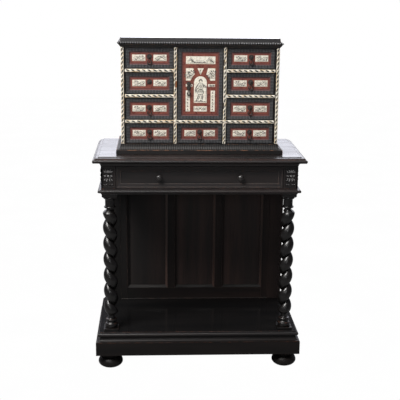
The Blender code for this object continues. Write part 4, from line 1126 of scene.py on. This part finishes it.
def make_stand_drawer():
    """The wide drawer: panelled front, tray and two turned knobs."""
    foot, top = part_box("stand_drawer_front")
    rim, slope_end, thickness = WIDE_RIM, WIDE_RIM + WIDE_BEVEL, top.y - foot.y
    profile = [(0.0, thickness), (0.0, 0.0008), (0.0003, 0.0003), (0.0008, 0.0)]
    profile += [(rim - 0.0006, 0.0), (rim, 0.0005), (rim + 0.0004, 0.0012), (rim + 0.0012, 0.0014)]
    profile += [(slope_end - 0.0020, WIDE_RECESS - 0.0030)]
    profile += [(slope_end - 0.0008, WIDE_RECESS - 0.0027), (slope_end - 0.0002, WIDE_RECESS - 0.0004)]
    profile += [(slope_end + 0.0002, WIDE_RECESS)]
    shape = bmesh.new()
    add_frame(shape, (foot.x, foot.z), (top.x, top.z), foot.y, plain(profile))
    face_outward(shape)

    # Bevels that face up or aside take a paler wood, a painted highlight; the top bevel faces down and keeps
    # the darker wood
    def on_lit_bevel(face):
        aslant = max(face.normal.z, abs(face.normal.x))
        return face.normal.y < -FORWARD_FACING and aslant > BEVEL_FACING

    give_material(shape, 1, on_lit_bevel)
    finish_piece("stand_drawer_panel", shape, [DRAWER, LIT_BEVEL], ["stand_drawer_front"], body="stand_drawer")

    shape = bmesh.new()
    add_tray(shape, *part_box("stand_drawer_box"), WIDE_TRAY_WALL, WIDE_TRAY_FLOOR)
    replaced = ["stand_drawer_box"]
    finish_piece("stand_drawer_tray", shape, [INNER], replaced, body="stand_drawer")

    for node in ("stand_knob_left", "stand_knob_right"):
        foot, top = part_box(node)
        radius, length = (top.x - foot.x) / 2, top.y - foot.y
        x, _, z = centre(node)
        place = Matrix.Translation((x, top.y, z)) @ Matrix.Rotation(pi / 2, 4, "X")
        profile = [(0.0092, 0.0), (0.0095, 0.0006), (0.0095, 0.0016), (0.0086, 0.0022)]
        profile += arc((0.0072, 0.0026), (0.0060, 0.0050), upright_start=False, steps=4)
        profile += arc((0.0060, 0.0070), (0.0090, 0.0100), steps=4)
        swell = 0.0165
        profile += [(radius * cos(a), swell + 0.0062 * sin(a)) for a in evenly(-0.75, 0.0, 3)]
        crown = evenly(0.0, pi / 2, 9)[1:-1]
        profile += [(radius * cos(a), swell + (length - swell) * sin(a)) for a in crown]
        profile.append((0.0006, length))
        shape = bmesh.new()
        add_turned(shape, profile, place, 40)
        finish_piece(f"{node}_turned", shape, [KNOB], [node], body="stand_drawer")


# Engraved ornament


def curl(x, z, radius, hand, turns=1.4, start=0.0):
    """A scroll that winds in to its middle."""
    points = []
    for part in evenly(0.0, 1.0, CURL_STEPS):
        angle = start + hand * 2 * pi * turns * part
        reach = radius * (1 - 0.85 * part)
        points.append((x + reach * cos(angle), z + reach * sin(angle)))
    return points


def curved_line(start, end, sag, steps=6):
    """A line that bows aside by sag in its middle."""
    (x0, z0), (x1, z1) = start, end
    length = hypot(x1 - x0, z1 - z0)
    aside = (-(z1 - z0) / length * sag, (x1 - x0) / length * sag)
    points = []
    for part in evenly(0.0, 1.0, steps):
        bow = 4 * part * (1 - part)
        points.append((x0 + (x1 - x0) * part + aside[0] * bow, z0 + (z1 - z0) * part + aside[1] * bow))
    return points


def hatching(x, z, width, height, lean, count):
    """Fine parallel lines that shade a patch."""
    strokes = []
    for part in evenly(-0.5, 0.5, count - 1):
        foot = (x + width * part - lean, z - height / 2)
        tip = (x + width * part + lean, z + height / 2)
        strokes.append((curved_line(foot, tip, 0.0003, 4), INK_WIDTH * 0.6))
    return strokes


def vine(width, height, seed):
    """Strokes of a wavy stem with scrolls and leaves over hatched ground, about the middle of a plaque."""
    dice = random.Random(seed)
    hand = dice.choice((-1, 1))
    waves = max(1, round(width / (2.1 * height)))
    phase = dice.uniform(-0.2, 0.2)
    w, h = 0.95 * width, 0.94 * height
    stem = []
    for part in evenly(0.0, 1.0, STEM_STEPS):
        stem.append((w * (part - 0.5), hand * 0.24 * h * sin(2 * pi * (waves * part + phase))))
    strokes = [(stem, INK_WIDTH * 1.5)]
    bends = 2 * waves
    for i in range(bends):
        x = w * ((i + 0.5) / bends - 0.5) * 0.90 + dice.uniform(-0.06, 0.06) * h
        up = hand if i % 2 else -hand
        z, reach = up * 0.10 * h, 0.24 * h
        strokes.append((curl(x, z, reach, up, start=-up * pi / 2), INK_WIDTH * 1.5))
        for k in range(5):
            angle = up * (0.2 + 0.75 * k) + dice.uniform(-0.25, 0.25)
            foot = (x + 0.8 * reach * cos(angle), z + 0.8 * reach * sin(angle))
            out = dice.uniform(0.16, 0.26) * h
            tip_height = max(-0.44, min(0.44, (foot[1] + out * sin(angle)) / h)) * h
            tip = (foot[0] + 1.2 * out * cos(angle), tip_height)
            strokes.append((curved_line(foot, tip, 0.0008, 5), dice.uniform(0.09, 0.13) * h))
        strokes += hatching(x + 0.34 * w / bends, -0.5 * z, 0.30 * h, 0.5 * h, 0.03 * h, 6)
    ground = -0.47 * h
    strokes.append((curved_line((-w / 2, ground), (w / 2, ground), 0.0006, 10), INK_WIDTH))
    for i in range(round(w / GRASS_STEP)):
        x = -w / 2 + GRASS_STEP * (i + dice.uniform(0.1, 0.9))
        reach = dice.uniform(0.10, 0.24) * h
        strokes.append((curved_line((x, ground), (x + 0.5 * reach, ground + reach), 0.0003, 3), INK_WIDTH))
    return strokes


def beads(width, height):
    """A column of dots and scrolls up a pilaster."""
    strokes = []
    count = max(1, round(height / BEAD_STEP))
    for i in range(count):
        z = height * ((i + 0.5) / count - 0.5)
        hand = 1 if i % 2 else -1
        strokes.append((curved_line((-0.10 * width, z - 0.0012), (0.10 * width, z + 0.0012), 0.0), 0.0034))
        strokes.append((curl(0.0, z, 0.30 * width, hand, 0.9, hand * 0.8), INK_WIDTH * 1.3))
        foot, tip = (-0.34 * width, z - 0.006), (0.34 * width, z - 0.0045)
        strokes.append((curved_line(foot, tip, hand * 0.001), INK_WIDTH))
    return strokes


def crossed_scrolls(width, height):
    """Two scrolls beside crossed lines, between upright edges."""
    strokes = []
    for hand in (-1, 1):
        x, edge = hand * 0.27 * width, hand * 0.44 * width
        strokes.append((curl(x, 0.0, 0.34 * height, hand, 1.5, pi / 2), INK_WIDTH * 1.8))
        foot, tip = (-hand * 0.16 * width, -0.36 * height), (hand * 0.16 * width, 0.36 * height)
        strokes.append((curved_line(foot, tip, hand * 0.002, 8), 0.0024))
        strokes.append((curved_line((edge, -0.36 * height), (edge, 0.36 * height), 0.001), 0.0018))
        strokes += hatching(x, 0.0, 0.2 * width, 0.5 * height, 0.001, 6)
    return strokes


def smooth_line(points, steps=5):
    """A line that bends smoothly through the points."""
    padded = [points[0], *points, points[-1]]
    line = [points[0]]
    for stretch in zip(padded, padded[1:], padded[2:], padded[3:]):
        for t in evenly(0.0, 1.0, steps)[1:]:
            point = []
            for a, b, c, d in zip(*stretch):
                bend = (2 * a - 5 * b + 4 * c - d) * t + (3 * (b - c) + d - a) * t * t
                point.append(b + 0.5 * t * (c - a + bend))
            line.append(tuple(point))
    return line


def figure(height):
    """A plain walking figure in a belted tunic and cloak with a staff, its feet at the origin."""
    lines = [
        (0.036, (-0.06, 0.87), (-0.05, 0.94), (0.02, 0.962), (0.075, 0.92), (0.07, 0.86)),
        (0.022, (-0.03, 0.80), (-0.10, 0.77), (-0.11, 0.66), (-0.06, 0.54)),
        (0.028, (0.05, 0.80), (0.11, 0.76), (0.12, 0.64), (0.09, 0.54)),
        (0.030, (-0.06, 0.54), (0.02, 0.525), (0.09, 0.545)),
        (0.020, (-0.06, 0.53), (-0.11, 0.43), (-0.14, 0.33)),
        (0.030, (0.09, 0.53), (0.13, 0.43), (0.15, 0.34)),
        (0.020, (-0.14, 0.33), (-0.04, 0.305), (0.06, 0.31), (0.15, 0.34)),
        (0.026, (0.10, 0.75), (0.19, 0.70), (0.27, 0.63)),
        (0.020, (0.12, 0.67), (0.19, 0.635), (0.27, 0.59)),
        (0.022, (-0.10, 0.73), (-0.18, 0.63), (-0.14, 0.56), (-0.07, 0.56)),
        (0.022, (-0.09, 0.78), (-0.20, 0.62), (-0.23, 0.46), (-0.20, 0.36)),
        (0.016, (0.28, 0.72), (0.26, 0.38), (0.25, 0.02)),
        (0.032, (-0.08, 0.31), (-0.11, 0.17), (-0.18, 0.04)),
        (0.022, (-0.01, 0.31), (-0.04, 0.17), (-0.12, 0.04)),
        (0.022, (0.03, 0.31), (0.05, 0.17), (0.02, 0.05)),
        (0.034, (0.10, 0.32), (0.11, 0.18), (0.08, 0.05)),
        (0.028, (-0.12, 0.03), (-0.17, 0.026), (-0.22, 0.015)),
        (0.028, (0.08, 0.04), (0.03, 0.03), (-0.03, 0.015)),
        (0.016, (-0.27, -0.01), (0.0, 0.0), (0.27, -0.01)),
    ]
    for fold in range(7):
        x = -0.055 + 0.024 * fold
        lines.append((0.012, (x, 0.52), (1.3 * x, 0.43), (1.6 * x, 0.35)))
    for pleat in range(4):
        x = 0.08 - 0.034 * pleat
        lines.append((0.012, (x, 0.76), (x - 0.03, 0.67), (0.5 * x, 0.57)))
    for crease in range(3):
        x = -0.14 - 0.022 * crease
        lines.append((0.013, (x, 0.60 - 0.03 * crease), (x - 0.02, 0.48), (x, 0.38)))
    for tuft in range(8):
        x = -0.26 + 0.07 * tuft
        lines.append((0.018, (x, -0.06), (x + 0.02, -0.03), (x + 0.05, -0.01)))
    strokes = []
    for width, *points in lines:
        strokes.append((smooth_line([(x * height, z * height) for x, z in points]), 1.25 * width * height))
    face = [(0.01 + 0.055 * cos(a), 0.868 + 0.072 * sin(a)) for a in circle(14)]
    strokes.append(([(x * height, z * height) for x, z in face + face[:1]], 0.018 * height))
    return strokes


def landscape(width, height, seed):
    """Strokes of two hatched hills with low ground between them, about the middle of a plaque."""
    dice = random.Random(seed)
    ground = -0.40 * height
    strokes = [(curved_line((-0.48 * width, ground), (0.48 * width, ground), 0.001, 10), INK_WIDTH * 1.4)]
    horizon = [(-0.20, -0.12), (-0.08, -0.03), (0.04, -0.10), (0.14, 0.0)]
    strokes.append((smooth_line([(x * width, z * height) for x, z in horizon]), INK_WIDTH * 0.9))
    slope = [(-1.0, 0.0), (-0.7, 0.45), (-0.4, 0.62), (-0.12, 0.95)]
    slope += [(0.12, 0.97), (0.4, 0.7), (0.65, 0.55), (1.0, 0.0)]
    for place, half, peak in ((-0.34, 0.14, 0.30), (0.31, 0.17, 0.34)):
        x, reach, rise = place * width, half * width, peak * height - ground
        ridge = smooth_line([(x + across * reach, ground + up * rise) for across, up in slope])
        strokes.append((ridge, INK_WIDTH * 1.3))
        for i in range(17):
            across = -0.7 + 0.095 * (i + dice.uniform(-0.2, 0.2))
            shade = 0.75 if across > 0 else 0.45
            top = ground + rise * (0.9 - 0.8 * abs(across))
            foot = top - shade * (top - ground)
            line = curved_line((x + across * reach, top), (x + (across + 0.09) * reach, foot), 0.0005, 4)
            strokes.append((line, INK_WIDTH * (1.5 if across > 0 else 0.9)))
    for i in range(34):
        x = width * (-0.20 + 0.011 * (i + dice.uniform(-0.3, 0.3)))
        tip = (x + dice.uniform(-0.0016, 0.0016), ground + height * dice.uniform(0.10, 0.34))
        strokes.append((curved_line((x, ground), tip, dice.uniform(-0.0006, 0.0006), 3), INK_WIDTH))
    for i in range(26):
        x = width * (-0.47 + 0.036 * (i + dice.uniform(0.0, 0.8)))
        tip = (x + dice.uniform(-0.002, 0.002), ground + height * dice.uniform(0.06, 0.14))
        strokes.append((curved_line((x, ground - 0.05 * height), tip, 0.0003, 3), INK_WIDTH * 1.2))
    return strokes


def add_engraving(shape, strokes, x, z):
    """Strokes about a place on a plaque."""
    for points, width in strokes:
        add_stroke(shape, [(x + u, z + v) for u, v in points], width, lambda u, v: PLAQUE_Y)


def rectangle(left, foot, right, top):
    return [(left, foot), (right, foot), (right, top), (left, top)]


# Cabinet


def make_case_mouldings():
    """Rippled cornice and base of the cabinet."""
    foot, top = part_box("cabinet_top")
    half, front = high("cabinet_side_right").x, STRIP_Y
    height = top.z - foot.z
    slope = [(0.0, 0.0), (0.0008, 0.0012), (0.0012, 0.0016), (0.0084, 0.0106)]
    profile = plain(slope + [(0.0090, 0.0112), (0.0096, 0.0126)])
    profile += rippled(bulge(0.0076, 0.0140, 0.0132, 0.0218, 8), CORNICE_RIPPLE)
    profile += plain([(0.0056, 0.0224), (0.0032, 0.0228), (0.0022, 0.0236), (0.0004, height - 0.0030)])
    profile += plain(arc((0.0002, height - 0.0028), (-0.0022, height - 0.0002)))
    profile += plain([(-0.0036, height)])
    shape = bmesh.new()
    add_moulding(shape, profile, half, front, top.y, foot.z, CORNICE_PERIOD)
    polish_top(shape, top.z - 0.001)
    finish_piece("cornice", shape, [CORNICE, LID], ["cabinet_top"])

    foot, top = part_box("cabinet_base")
    height = top.z - foot.z
    profile = plain([(-0.0008, 0.0), (0.0, 0.0008), (0.0, 0.0176), (-0.0005, 0.0186)])
    profile += plain([(-0.0014, 0.0190), (-0.0030, 0.0190)])
    profile += rippled(arc((-0.0036, 0.0194), (-0.0185, height - 0.0012), upright_start=False), BASE_RIPPLE)
    profile += plain([(-0.0190, height - 0.0006), (-0.0190, height)])
    shape = bmesh.new()
    add_moulding(shape, profile, top.x, foot.y, top.y, foot.z, BASE_PERIOD)
    finish_piece("cabinet_base_rippled", shape, [BASE], ["cabinet_base"])


def strip_fall(part):
    """How far a strip's face lies behind its middle, at a part of its half width."""
    return STRIP_ROUND * abs(part) ** 2.5


def add_strip(shape, start, end, half, dash_step):
    """A rounded bone strip between two (x, z) points, inlaid with slanting black dashes."""
    start, end = Vector(start), Vector(end)
    length = (end - start).length
    along = (end - start) / length
    across = Vector((-along.y, along.x))
    stain = layer(shape.verts, "stain")
    parts = evenly(-1.0, 1.0, STRIP_POINTS - 1)
    rounded_end = [(0.0, 0.72), (0.0004, 0.9), (0.0012, 1.0)]
    rings = []
    for place, size in rounded_end + [(length - place, size) for place, size in reversed(rounded_end)]:
        middle = start + along * place
        ring = []
        for part in parts:
            point = middle + across * (part * half * size)
            ring.append((point.x, STRIP_Y + strip_fall(part) + STRIP_ROUND * (1 - size), point.y))
        for part in (1, -1):
            point = middle + across * (part * half * size)
            ring.append((point.x, STRIP_BACK, point.y))
        rings.append(ring)
    for row in add_loft(shape, rings):
        for vertex, part in zip(row, parts):
            vertex[stain] = 0.25 + 0.75 * abs(part) ** 3

    def level(x, z):
        part = (Vector((x, z)) - start).dot(across) / half
        return STRIP_Y + strip_fall(max(-1.0, min(1.0, part)))

    count = max(1, round(length / dash_step))
    for i in range(count):
        middle = start + along * (length * (i + 0.5) / count)
        reach = along * DASH_LENGTH / 2 - across * (half * DASH_SLOPE)
        ends = (middle - reach, middle + reach)
        line = curved_line(tuple(ends[0]), tuple(ends[1]), 0.0006, 6)
        add_stroke(shape, line, DASH_WIDTH * 2 * half / STRIP_WIDTH, level, steps=6)


def make_strips():
    """Bone strips on the front edges of the case, cut back at the hinges and where the bolt wore one away."""
    foot, top = low("cabinet_side_left").z + PATCH_GAP, high("cabinet_side_left").z
    edge = high("cabinet_side_right").x
    inner = (low("divider_right").x, high("divider_right").x)
    half = STRIP_WIDTH / 2
    patch_foot, patch_top = (centre("lock_bolt")[2] + reach for reach in PATCH_REACH)
    shape = bmesh.new()
    for sign in (-1, 1):
        x = sign * (edge - half)
        add_strip(shape, (x, foot), (x, top), half, UPRIGHT_DASH_STEP)
    rail_foot, rail_top = low("shelf_centre").z, high("shelf_centre").z
    reach = edge - STRIP_WIDTH - STRIP_FILLET
    level_half = (rail_top - rail_foot) / 2
    level = centre("shelf_centre")[2]
    add_strip(shape, (-reach, level), (reach, level), level_half, LEVEL_DASH_STEP)
    for side, sign in (("left", -1), ("right", 1)):
        for row in (1, 2):  # the third shelf lies behind the long strip
            ends = sorted((sign * (inner[1] + STRIP_GAP), sign * reach))
            level = centre(f"shelf_{side}_{row}")[2]
            add_strip(shape, (ends[0], level), (ends[1], level), level_half, LEVEL_DASH_STEP)
        middle = sign * (inner[0] + inner[1]) / 2
        add_strip(shape, (middle, foot), (middle, rail_foot - STRIP_GAP), half, UPRIGHT_DASH_STEP)
        if sign > 0:
            hinges = [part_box(name) for name in ("hinge_lower", "hinge_upper")]
            cuts = [(a.z - HINGE_GAP, b.z + HINGE_GAP, HINGE_CUT) for a, b in hinges]
        else:
            cuts = [(patch_foot, patch_top, PATCH_WIDTH)]
        start = rail_top + STRIP_GAP
        for cut_foot, cut_top, depth in cuts:
            add_strip(shape, (middle, start), (middle, cut_foot), half, UPRIGHT_DASH_STEP)
            narrow = middle + sign * depth / 2
            add_strip(shape, (narrow, cut_foot), (narrow, cut_top), half - depth / 2, UPRIGHT_DASH_STEP)
            start = cut_top
        add_strip(shape, (middle, start), (middle, top), half, UPRIGHT_DASH_STEP)
    finish_piece("bone_strips", shape, [BONE, INK])
    shape = bmesh.new()
    corner = (-inner[0] - PATCH_WIDTH, STRIP_Y + PATCH_SINK, patch_foot + PATCH_GAP)
    add_box(shape, corner, (-inner[0], STRIP_BACK, patch_top - PATCH_GAP), 0.0004)
    finish_piece("strike_patch", shape, [PATCH])


def front_profile(thickness):
    """Inset and depth of a front's rippled frame: a groove, two bands and a step down to the red field."""
    width, floor = FRAME_WIDTH, FIELD_DEPTH + VENEER
    split = GROOVE_WIDTH + 0.46 * (width - GROOVE_WIDTH)
    parts = evenly(0.0, 1.0, 4)
    profile = plain([(0.0, thickness), (0.0, 0.0062), (0.0002, 0.0060), (GROOVE_WIDTH - 0.0002, 0.0060)])
    profile += plain([(GROOVE_WIDTH, 0.0008), (GROOVE_WIDTH + 0.0003, 0.0002)])
    start, end = GROOVE_WIDTH + 0.0006, split - 0.0009
    profile += rippled([(start + (end - start) * a, 0.0001 + 0.0005 * a**2) for a in parts], FRONT_RIPPLE)
    profile += plain([(split, 0.0016), (split + 0.0007, 0.0016)])
    start, end = split + 0.0011, width - 0.0030
    profile += rippled([(start + (end - start) * a, 0.0004 + 0.0010 * a**2) for a in parts], FRONT_RIPPLE)
    step = [(width - 0.0026, 0.0018), (width - 0.0014, 0.0026), (width - 0.0004, 0.0034)]
    return profile + plain(step + [(width, floor - 0.0002), (width + 0.0002, floor)])


def rosette_height(part, angle):
    """Height of a rosette at a part of its radius: petals round a boss."""
    petal = abs(cos(angle * ROSETTE_PETALS / 2)) ** 0.6
    boss = max(0.0, 1 - (part / 0.34) ** 2) ** 0.5
    leaf = 0.35 + 0.55 * petal * sin(pi * min(1.0, part * 1.02)) ** 0.7
    return ROSETTE_THICKNESS * max(boss, leaf * (1 - 0.35 * part))


def make_front(name, body, node, material, thickness):
    """A rippled frame whose step down to the field is red."""
    foot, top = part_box(node)
    shape = bmesh.new()
    rim = layer(shape.verts, "rim")
    corners = ((foot.x, foot.z), (top.x, top.z))
    rows = add_frame(shape, *corners, FACE_Y, front_profile(thickness), period=FRONT_PERIOD)
    step = {vertex for row in rows[-STEP_POINTS:] for vertex in row}
    for vertex in step:
        vertex[rim] = 1.0
    give_material(shape, 1, lambda face: step.issuperset(face.verts))
    finish_piece(name, shape, [material, RED], [node], body=body)


def add_rosette(shape, x, z):
    """A scalloped plate with petals. Its rim has set heights, and the rings inside follow the petals."""
    levels = [(1.0, -ROSETTE_SINK), (1.0, ROSETTE_EDGE)] + [(part, None) for part in ROSETTE_PARTS]
    rings = []
    for part, rise in levels:
        ring = []
        for angle in circle(TURN_STEPS):
            reach = ROSETTE_RADIUS * part * (0.91 + 0.09 * abs(cos(angle * ROSETTE_PETALS / 2)))
            height = rosette_height(part, angle) if rise is None else rise
            ring.append((x + reach * cos(angle), FIELD_Y - height, z + reach * sin(angle)))
        rings.append(ring)
    add_loft(shape, rings)


def add_eye(shape, x, z):
    """The ring that a pull hangs in."""
    middle = Vector((x, FIELD_Y - EYE_REACH, z))
    points = [middle + EYE_RADIUS * Vector((0, cos(a), sin(a))) for a in circle(20)]
    add_wire(shape, points, [EYE_WIRE] * len(points), (1, 0, 0), sides=10)


def make_pull(node, body, radius, foot_wire=PULL_FOOT_WIRE):
    """A drop of iron wire: a bend in the eye, a narrow neck and a ring that is thickest at its foot."""
    x, y, _ = centre(node)
    pivot = Vector((x, y, high(node).z - PULL_AXIS))
    drop = pivot.z - low(node).z - foot_wire - radius
    points = []
    radii = []
    for angle in evenly(-PULL_CLOSE, pi + PULL_CLOSE, BEND_STEPS):
        points.append(pivot + PULL_BEND * Vector((cos(angle), 0.0, sin(angle) - 1)))
        radii.append(PULL_WIRE)
    opening = asin(PULL_NECK / radius)
    for part in evenly(0.0, 1.0, RING_STEPS):
        angle = pi / 2 + opening + 2 * (pi - opening) * part
        points.append(pivot + Vector((radius * cos(angle), 0.0, radius * sin(angle) - drop)))
        radii.append(PULL_WIRE + (foot_wire - PULL_WIRE) * sqrt(abs(sin(pi * part))))
    shape = bmesh.new()
    add_wire(shape, points, radii, (0, 1, 0))
    finish_piece(f"{node}_drop", shape, [IRON], [node], body=body)


def make_field(name, body, foot, top):
    """The red veneer inside the frame of a front with these corners."""
    shape = bmesh.new()
    rim_edges = [(inset, 0.0) for inset in FIELD_RIM]
    profile = plain([(0.0, VENEER), (0.0, 0.0001), (0.0002, 0.0)] + rim_edges)
    corner = (foot.x + FRAME_WIDTH, foot.z + FRAME_WIDTH)
    rim = layer(shape.verts, "rim")
    rows = add_frame(shape, corner, (top.x - FRAME_WIDTH, top.z - FRAME_WIDTH), FIELD_Y, profile)
    for row in rows[:-1]:
        for vertex in row:
            vertex[rim] = 1.0
    finish_piece(f"{name}_field", shape, [RED], body=body)


def make_drawer(name, plaque_size):
    """A small drawer: front, tray, red field, two plaques, rosette with its eye, and a pull if it has one."""
    node, body = f"drawer_{name}", f"{name}_drawer"
    foot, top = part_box(node)
    make_front(f"{node}_front", body, node, FRONT["X"], FRONT_THICKNESS)

    shape = bmesh.new()
    tray_foot = (foot.x + TRAY_INSET, FACE_Y + FRONT_THICKNESS, foot.z)
    add_tray(shape, tray_foot, (top.x - TRAY_INSET, top.y, foot.z + TRAY_HEIGHT), TRAY_WALL, TRAY_FLOOR)
    finish_piece(f"{node}_tray", shape, [INNER], body=body)

    make_field(node, body, foot, top)

    x, _, z = centre(node)
    width, height = plaque_size
    shape = bmesh.new()
    for sign in (-1, 1):
        middle = x + sign * (PLAQUE_GAP + width) / 2
        foot_z, top_z = z + PLAQUE_LIFT - height / 2, z + PLAQUE_LIFT + height / 2
        outline = rectangle(middle - width / 2, foot_z, middle + width / 2, top_z)
        add_plate(shape, outline, PLAQUE_Y, PLAQUE_RISE)
        add_engraving(shape, vine(width, height, f"{name} {sign}"), middle, z + PLAQUE_LIFT)
    finish_piece(f"{node}_plaques", shape, [BONE, INK], body=body)

    shape = bmesh.new()
    add_rosette(shape, x, z + ROSETTE_RISE)
    add_eye(shape, x, z + ROSETTE_RISE)
    finish_piece(f"{node}_rosette", shape, [IRON], body=body)
    if f"pull_{name}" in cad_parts:
        make_pull(f"pull_{name}", f"{name}_pull", PULL_RADIUS)


def round_points(x, z, radius, start, end, steps=12):
    """Points round an arc, in degrees anticlockwise from the right."""
    angles = evenly(radians(start), radians(end), steps)
    return [(x + radius * cos(a), z + radius * sin(a)) for a in angles]


def mirrored(outline):
    return [(-x, z) for x, z in reversed(outline)]


def door_plaques():
    """Outlines of the door's plaques, their strokes and where these go, from the middle of its foot."""
    half, niche, spring = 0.0613, 0.0271, 0.155
    arch = rectangle(-niche, 0.0704, niche, spring)[:2] + round_points(0.0, spring, niche, 0, 180)
    spandrel = [(-half, 0.1639), (-0.0415, 0.1639)]
    spandrel += round_points(0.0, spring, 0.0419, 166, 125, 5)[1:] + [(-0.0310, 0.2151), (-half, 0.2151)]
    keystone = [(-0.0008, 0.1884), (0.0008, 0.1884), (0.0131, 0.2151), (-0.0131, 0.2151)]
    impost = rectangle(-half, 0.1377, -0.0325, 0.1488)
    pilaster = rectangle(-half, 0.0339, -0.0433, 0.1221)
    plaques = [
        (rectangle(-half, 0.2329, half, 0.2646), landscape(0.120, 0.0317, "door top"), (0.0, 0.2488)),
        (keystone, beads(0.012, 0.013), (0.0, 0.2075)),
        (arch, figure(0.094), (0.0, 0.0775)),
        (rectangle(-0.0276, 0.0339, 0.0276, 0.0561), crossed_scrolls(0.055, 0.022), (0.0, 0.0450)),
    ]
    for side, hand in (("left", -1), ("right", 1)):
        outlines = (spandrel, impost, pilaster)
        if hand > 0:
            outlines = [mirrored(outline) for outline in outlines]
        plaques += [
            (outlines[0], vine(0.033, 0.042, f"door {side}"), (hand * 0.0465, 0.1910)),
            (outlines[1], vine(0.028, 0.011, f"impost {side}"), (hand * 0.0469, 0.1432)),
            (outlines[2], beads(0.0180, 0.085), (hand * 0.0523, 0.0780)),
        ]
    return plaques


def make_door():
    """The door with its rippled frame, red field, plaques, escutcheon and pull."""
    foot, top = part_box("door")
    make_front("door_board", "door_leaf", "door", FRONT["Z"], DOOR_THICKNESS)
    make_field("door", "door_leaf", foot, top)

    shape = bmesh.new()
    base = foot.z + DOOR_PLAQUE_LIFT
    for outline, strokes, (x, z) in door_plaques():
        placed = [(DOOR_PLAQUE_MIDDLE + u, base + v) for u, v in outline]
        add_plate(shape, placed, PLAQUE_Y, PLAQUE_RISE)
        add_engraving(shape, strokes, DOOR_PLAQUE_MIDDLE + x, base + z)
    finish_piece("door_plaques", shape, [BONE, INK], body="door_leaf")

    x = centre("door_pull")[0]
    z = high("door_pull").z + ESCUTCHEON_RISE
    wide, tall = ESCUTCHEON_SIZE[0] / 2, ESCUTCHEON_SIZE[1] / 2
    outline = round_points(x, z - tall + wide, wide, 180, 360, 10) + [(x + wide * ESCUTCHEON_WAIST, z)]
    outline += round_points(x, z + tall - wide, wide, 0, 180, 10) + [(x - wide * ESCUTCHEON_WAIST, z)]
    shape = bmesh.new()
    add_plate(shape, outline, FIELD_Y - ROSETTE_THICKNESS, ROSETTE_THICKNESS)
    add_eye(shape, x, high("door_pull").z)
    keyhole = curved_line((x, z + KEYHOLE_FOOT), (x, z + KEYHOLE_TOP), 0.0)
    add_stroke(shape, keyhole, KEYHOLE_WIDTH, lambda u, v: FIELD_Y - ROSETTE_THICKNESS)
    finish_piece("door_escutcheon", shape, [IRON, INK], body="door_leaf")
    make_pull("door_pull", "door_drop", DOOR_PULL_RADIUS, DOOR_PULL_FOOT_WIRE)


def dress_nodes():
    """Finishes of the CAD nodes that show as they are."""
    for name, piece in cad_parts.items():
        if name.startswith(("divider", "shelf")):
            finish = EBONY["Y"]
        elif name.startswith(("hinge", "lock")):
            finish = IRON
        else:
            continue
        piece.data.materials.clear()
        piece.data.materials.append(finish)


def make_drawers():
    make_drawer("centre", CENTRE_PLAQUE_SIZE)
    for side in ("left", "right"):
        for row in range(1, DRAWER_ROWS + 1):
            make_drawer(f"{side}_{row}", PLAQUE_SIZE)


make_studio()
make_boards()
make_feet()
make_columns()
make_back()
make_stand_mouldings()
make_blocks()
make_stand_drawer()
make_case_mouldings()
make_strips()
make_drawers()
make_door()
dress_nodes()
